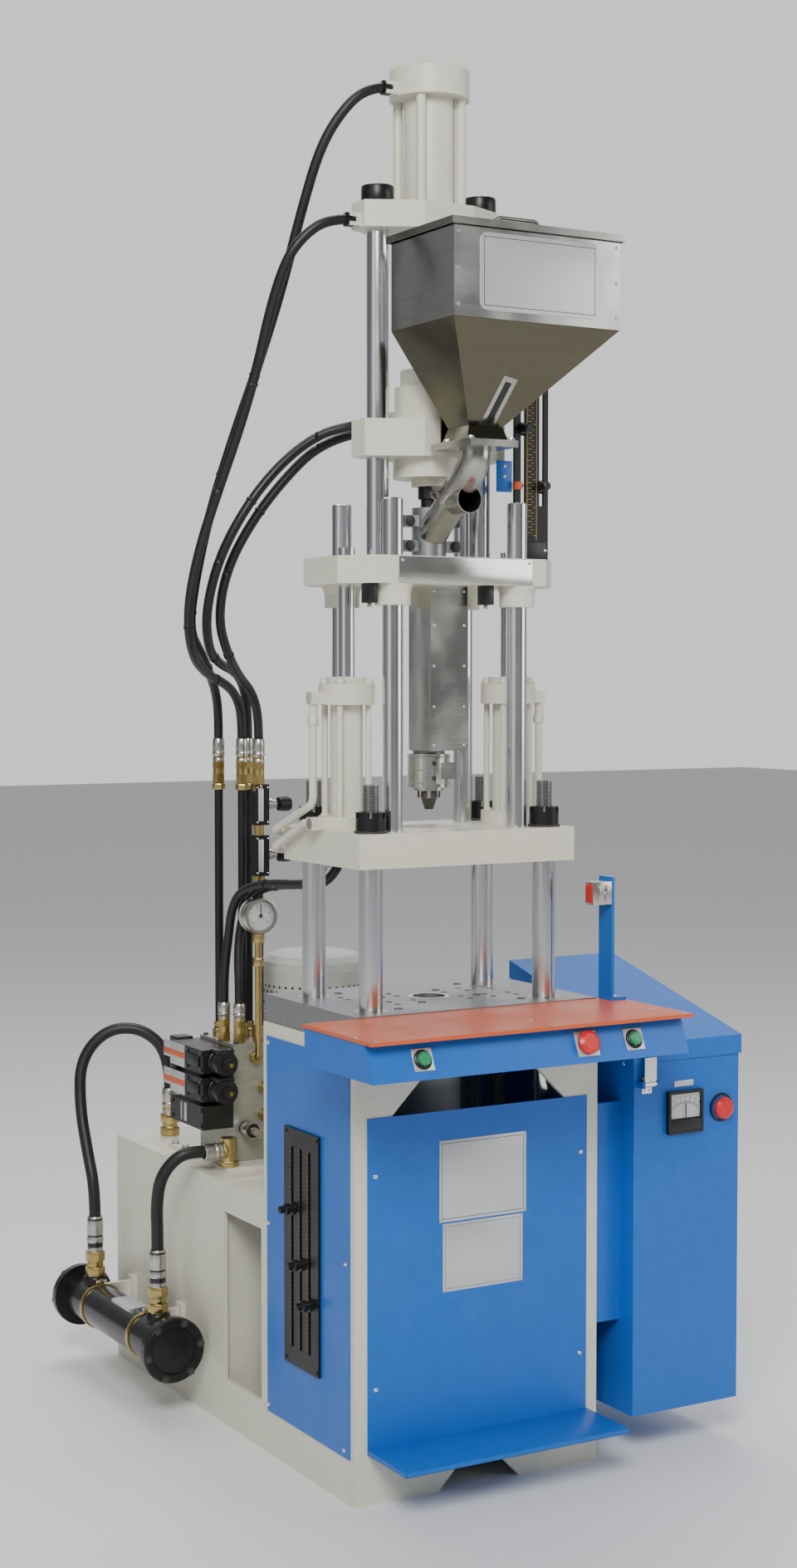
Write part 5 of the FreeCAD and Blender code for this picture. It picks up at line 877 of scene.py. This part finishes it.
GAUGE = (120, 596.6, 957)
lathe("gauge_face", [(0, 0), (28.6, 0), (28.6, -0.4), (0, -0.4)], GAUGE, "Y", "white", "base", 48)
lathe("gauge_rim", [
    (28.6, -4.6), (29.4, -6.6), (32, -7.2), (34.4, -6.4), (35.4, -4), (35.4, 6), (33.2, 8)],
    GAUGE, "Y", "silver", "base", 56)
lathe("gauge_glass", [(0, -4.8), (28.8, -4.8), (28.8, -5.2), (0, -5.2)], GAUGE, "Y", "glass",
      "base", 40)
lathe("gauge_back", [(33.2, 20), (35.0, 22), (35.0, 24.4), (0, 24.8)], GAUGE, "Y", "silver",
      "base", 48)
FACE = (120, 596.0, 957)
dial_marks("gauge_ticks", FACE, 24, 26.5, 130, 51, 0.25)
dial_marks("gauge_marks", FACE, 22.5, 26.5, 130, 11, 0.5)
dial_numbers("gauge_number", FACE, 19, 130, ("0", "5", "10", "15", "20", "25"), 4.6)
drum("gauge_hub", (120, 592.9, 957), "Y", 3.4, -0.8, "black", "base", 0.2, 24)
drum("gauge_nut", (120, 606, 904), "Z", 12.5, 18, "brass", "base", 0.9, 6)
drum("gauge_union", (120, 606, 858), "Z", 11.5, 16, "brass", "base", 0.9, 6)
drum("gauge_foot", (120, 625.6, 677), "Y", 12.5, -14, "brass", "base", 0.9, 6)

# Cooler: rimmed ends with bolts, straps, saddles, and fittings on its ports.
COOLER = (-75, 135)
for name, y, away in (("front", 580, -1), ("rear", 1050, 1)):
    lathe(f"cooler_end_{name}", [(radius, far * away) for radius, far in (
        (0, 3.4), (30, 3.0), (40, 1.0), (44, 0.4), (46, 4.0), (52, 5.0), (60, 4.2), (62, 2.4),
        (62.6, 0.6), (62.9, 0.2))], (COOLER[0], y, COOLER[1]), "Y", "black_steel", "base", 56)
    copies(f"cooler_bolt_{name}", hex_bolt("Y", 6.2, 5 * away, "dark"),
           [(COOLER[0] + math.sin(math.radians(a)) * 55, y + 4.6 * away,
             COOLER[1] + math.cos(math.radians(a)) * 55) for a in range(22, 382, 60)], "base")
for number, y in enumerate((697, 932), 1):
    lathe(f"cooler_strap_{number}", [
        (44.2, 0), (46.2, 0.2), (46.8, 2), (46.8, 10), (46.2, 11.8), (44.2, 12)],
        (COOLER[0], y, COOLER[1]), "Y", "brass", "base", 56)
    slab(f"strap_lug_{number}", (-79, y + 1, 180), (-71, y + 11, 190), "brass", "base", 1)
    drum(f"strap_bolt_{number}", (-86, y + 6, 185), "X", 3, 22, "silver", "base", 0.4, 6)
saddles = []
for y in (697.5, 932.5):
    hollow = drum("tool", (COOLER[0], y - 5, COOLER[1]), "Y", 44.3, 16, "cream", None, 0, 48)
    saddles.append(carve(slabs("plate", "cream", None,
                               ((-72, y, 104), (-8, y + 6, 182), 2),
                               ((-12, y - 12, 96), (-0.4, y + 18, 190), 2)), hollow))
saddle = merged("cooler_saddles", *saddles)
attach(saddle, "base")
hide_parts("cooler_brackets")
slab("cooler_label", (-98, 742, 172.2), (-58, 830, 179.6), "label", "base", 0.2)
for name, y in (("front", 655), ("rear", 970)):
    lathe(f"cooler_boss_{name}", [(24, 38), (24, 52), (22, 55), (16.3, 55)],
          (COOLER[0], y, COOLER[1]), "Z", "black_steel", "base", 36)
    for part, low, radius, high, edge, sides in (
            ("union", 190, 20.5, 20, 1.2, 6), ("neck", 210, 16.6, 12, 0.8, 28),
            ("nut", 222, 20, 20, 1.2, 6)):
        drum(f"cooler_{part}_{name}", (COOLER[0], y, low), "Z", radius, high, "brass", "base",
             edge, sides)
    ferrule(f"cooler_ferrule_{name}", (COOLER[0], y, 242), "Z", 72, 16.8, "base")
ferrule("tank_ferrule_rear", (95, 972, 512), "Z", 52, 16.8, "base")
ferrule("tank_ferrule_front", (36, 600, 505), "X", -38, 16.4, "base")
for name, start, axis, radius, length in (
        ("tank_union_rear", (95, 972, 465), "Z", 20.5, 18),
        ("tank_nut_rear", (95, 972, 490), "Z", 20, 20),
        ("tank_union_front", (36, 600, 505), "X", 19.5, 10),
        ("tank_foot_front", (52, 600, 473), "Z", 20.5, 12)):
    drum(name, start, axis, radius, length, "brass", "base", 1.2, 6)

# Cowl of the pump motor: a perforated band whose holes are thin black discs, painted shade in
# place of openings; a seam and screws.
COWL = (290, 700)
for level in range(4):
    # Painted shade: each hole is a black disc laid on the cowl, not an opening.
    hole = drum("hole", (396.6, COWL[1], 772 + level * 11), "X", 2.7, 0.8, "black", None, 0, 10)
    first = level % 2 * 4
    wheel(f"cowl_holes_{level + 1}", hole, (*COWL, 772), "Z", range(first, 360 + first, 8),
          "base")
lathe("cowl_seam", [(107, 0), (108.4, 1), (108.4, 5), (107, 6)], (*COWL, 748), "Z",
      "cream", "base", 72)
lathe("cowl_foot", [(107, 0), (118, 0.2), (118, 7), (116, 8.6), (107, 9)], (*COWL, COVER_TOP),
      "Z", "cream", "base", 72)
copies("cowl_bolt", hex_bolt("Z", 6, 5, "silver"),
       [(COWL[0] + math.cos(math.radians(a)) * 113, COWL[1] + math.sin(math.radians(a)) * 113,
         481) for a in (20, 110, 200, 290)], "base")

# ---------- clamp ----------

TIE_BARS = [(AXIS[0] + x, AXIS[1] + y) for x in (-179, 179) for y in (-105, 105)]
PITCH = 2.4
thread = [(13.4, 0)]
for turn in range(19):
    thread += [(14.1, turn * PITCH + 0.7), (14.1, turn * PITCH + 1.2),
               (13.2, turn * PITCH + 2.2)]
thread += [(12.4, 46.9), (0, 47.1)]
copies("stud_thread", lathe("thread", thread, (0, 0, 0), "Z", "dark", None, 28),
       [(x, y, 1188.2) for x, y in TIE_BARS], "clamp")
copies("nut_foot", lathe("washer", [(26.6, 0), (29, 0), (29, 3.4), (28, 4.2), (26.6, 4.2)],
                         (0, 0, 0), "Z", "dark", None, 36),
       [(x, y, 1152) for x, y in TIE_BARS], "clamp")
SPREAD = 40 * math.sqrt(0.5)
for side, x, out in (("left", 78, -1), ("right", 416, 1)):
    copies(f"stay_nut_{side}", drum("nut", (0, 0, 0), "Z", 9.4, 8, "cream", None, 0.8, 6),
           [(x + a * SPREAD, AXIS[1] + b * SPREAD, 1408) for a in (-1, 1) for b in (-1, 1)],
           "clamp")
    copies(f"foot_screw_{side}", socket_screw("Z", 7.0, 6, "cream"),
           [(x + a * 44, AXIS[1], 1176) for a in (-1, 1)], "clamp")
    port = x + out * 67
    for level, z in (("top", 1384), ("foot", 1164)):
        drum(f"port_nut_{level}_{side}", (port, AXIS[1], z), "X", 12.6, out * 8, "cream",
             "clamp", 1, 6)
    drum(f"pipe_nut_{side}", (port, AXIS[1], 1336), "Z", 10.4, 14, "cream", "clamp", 0.8, 6)
for side, x in (("left", 118), ("right", 150)):
    ferrule(f"junction_ferrule_{side}", (x, 330, 1097), "Z", -26, 11.6, "clamp")
    drum(f"junction_nut_{side}", (x, 330, 1090), "Z", 13.4, 7, "brass", "clamp", 0.8, 6)

# ---------- carriage ----------

slab("name_plate", (113, 44.8, 1583.5), (387, 47.2, 1628.5), "mirror", "carriage", 0.8)
copies("name_plate_screw", pan_screw("Y", 3, 1.6),
       [(x, 44.8, z) for x in (120, 380) for z in (1590, 1622)], "carriage")
for side, x in (("left", 63), ("right", 299)):
    slab(f"limit_switch_{side}", (x, 62, 1548), (x + 18, 90, 1582), "black", "carriage", 1.2)
    drum(f"limit_plunger_{side}", (x + 9, 76, 1548), "Z", 4, -7, "silver", "carriage", 0.6, 20)
copies("cover_screw", pan_screw("Y", 2.6, 1.6),
       [(x, 100, z) for x in (216, 278) for z in (1300, 1368, 1440, 1512, 1572)], "carriage")
COLUMNS = ((141, AXIS[1]), (353, AXIS[1]))
nut = lathe("nut", [
    (14.5, 31.2), (24.8, 31.3), (28.0, 29.6), (29.1, 27.0), (29.1, 3), (28.0, 0.1)],
    (0, 0, 0), "Z", "black_steel", None, 44)
copies("column_nut", nut, [(x, y, 2251) for x, y in COLUMNS], "carriage")
copies("column_end", lathe("end", [(0, 1.2), (12.6, 1.2), (13.8, 0.2), (14.4, 0)], (0, 0, 0),
                           "Z", "dark", None, 32),
       [(x, y, 2282) for x, y in COLUMNS], "carriage")
# Painted shade: each column's cross hole is a thin black disc, not an opening.
copies("column_hole", drum("hole", (0, 0, 0), "Y", 4.2, -0.6, "black", None, 0.1, 20),
       [(x, 141, 2267) for x, _ in COLUMNS], "carriage")
copies("lug_bolt", hex_bolt("Y", 8, -6, "dark"),
       [(x, 157, z) for x in (200, 294) for z in (1654, 1698)], "carriage")
lathe("nozzle_cone", [(3.2, -0.2), (7.6, -0.2), (14.6, 20.2), (18.6, 21.4), (18.6, 22)],
      (*AXIS, 1183), "Z", "dark", "carriage", 36)
drum("nozzle_nut", (*AXIS, 1203.6), "Z", 21, 13, "dark", "carriage", 1.4, 6)
for number, z in enumerate((1229, 1253, 1277), 1):
    lathe(f"nozzle_seam_{number}", [(38.4, 0), (39.2, 0.6), (39.2, 2.4), (38.4, 3)],
          (*AXIS, z), "Z", "silver", "carriage", 48)
slab("band_lug", (236, 126.6, 1230), (250, 132.6, 1276), "silver", "carriage", 0.8)
copies("band_screw", socket_screw("X", 4, -4),
       [(236, 129, z) for z in (1240, 1266)], "carriage")
for number, low in enumerate((1289, 1359, 1429, 1499), 1):
    for part, z in (("rim", low + 2), ("top", low + 54)):
        lathe(f"heater_{part}_{number}", [(35, 0), (35.8, 0.6), (35.8, 3), (35, 3.6)],
              (*AXIS, z), "Z", "silver", "carriage", 44)

for kind, end, high, step, count in (("mark", 437, 1.2, 50, 6), ("tick", 428, 0.8, 5, 55),
                                     ("half", 432, 1, 10, 28)):
    row(f"ruler_{kind}", (419, 111.4, 1676), (end, 112.1, 1676 + high), (0, 0, step), count,
        "gold", "carriage")
row("ruler_edge", (417.6, 111.4, 1668), (418.6, 112.1, 1952), (20.4, 0, 0), 2, "gold",
    "carriage")
slab("scale_foot", (396, 111.2, 1636), (460, 112, 1664), "black", "carriage", 0.2)
for number, (x, z) in enumerate(((410, 1868), (449.6, 1765)), 1):
    lathe(f"travel_stop_{number}", [
        (0, -21), (5.6, -21), (7.4, -19.6), (7.4, -13), (5, -12), (5, -9), (9.6, -8.4),
        (9.6, -0.2), (4.8, 0)], (x, 112, z), "Y", "black", "carriage", 28)
    slab(f"travel_block_{number}", (x - 9, 118, z - 12), (x + 9, 126, z + 12), "black",
         "carriage", 1.2)
copies("scale_screw", pan_screw("Y", 3.4, 2), [(398, 112, 1650), (458, 112, 1650)], "carriage")

drum("cap_union", (166, 170, 2454), "X", 13.6, -16, "black_steel", "carriage", 1.0, 6)
drum("plate_union", (92, 170, 2218), "X", 13.6, -16, "black_steel", "carriage", 1.0, 6)

# The hopper's bare plate, its corners round.
ROUND_OFF = 14
outline = []
for x, z, start in ((398, 2144, 0), (186, 2144, 90), (186, 2044, 180), (398, 2044, 270)):
    for turn in range(9):
        angle = math.radians(start + turn * 11.25)
        outline.append(P(x + math.cos(angle) * ROUND_OFF, -120, z + math.sin(angle) * ROUND_OFF))
mesh = bpy.data.meshes.new("hopper_plate")
mesh.from_pydata(outline, [], [tuple(range(len(outline)))])
plate = placed("hopper_plate", mesh)
apply(plate, "SOLIDIFY", thickness=0.0008, offset=1)
keep(plate, "hopper_plate", "label", "carriage", 0.3)
border("hopper_plate_border", 180, 404, 2037, 2151, 1, -121, -120.7, "carriage")
rivet = lathe("rivet", [(0, -1.6), (2.2, -1.3), (3.4, 0)], (0, 0, 0), "Y", "silver", None, 18)
copies("hopper_rivet", rivet, [(x, -120, z) for x in (130, 448) for z in (2036, 2096, 2156)],
       "carriage")
# Sight slot on the hopper's front slope: its ends, the way the slope looks, and its turn.
SLOT_LOW, SLOT_HIGH = Vector((249.5, -26, 1860)), Vector((264.4, -61.4, 1918.7))
SLOPE_OUT = Vector((0, -0.857, -0.516))
SLOT_LENGTH = 68.5
slope_turn = Matrix.Rotation(math.atan2(0.516, 0.857), 3, "X")
slot_turn = Matrix.Rotation(math.atan2(SLOT_HIGH.x - SLOT_LOW.x, SLOT_LENGTH), 3, "Y")
sight_turn = (slope_turn @ slot_turn).to_euler()
for name, lift, wide, long, look in (("sight_frame", 0.5, 15, 48, "stainless"),
                                     ("sight_glass", 1.2, 6.5, 39, "black")):
    middle = (SLOT_LOW + SLOT_HIGH) / 2 + SLOPE_OUT * lift
    half = Vector((wide, 0.6, long))
    slab(name, middle - half, middle + half, look, "carriage", 0.5, sight_turn)
copies("slide_base_bolt", hex_bolt("Z", 6.5, 5, "silver"),
       [(x, y, 1826) for x in (206, 288) for y in (-38, 40)], "carriage")

# ---------- motor plate ----------

slab("switch_bracket", (352, 108, 1752), (384, 112, 1808), "blue", "injection", 0.8)
slab("switch_body", (384, 96, 1757), (398, 108, 1771), "orange", "injection", 0.8)
drum("switch_nose", (398, 102, 1764), "X", 3.6, 4, "black", "injection", 0.5, 20)
copies("bracket_screw", pan_screw("Y", 3.2, 1.8), [(368, 108, z) for z in (1780, 1798)],
       "injection")
for side, x in (("left", 216), ("right", 278)):
    ferrule(f"motor_ferrule_{side}", (x, 250, 1886), "Y", 36, 12.2, "injection")
    drum(f"motor_union_{side}", (x, 241, 1886), "Y", 13.6, 9, "brass", "injection", 1.0, 6)
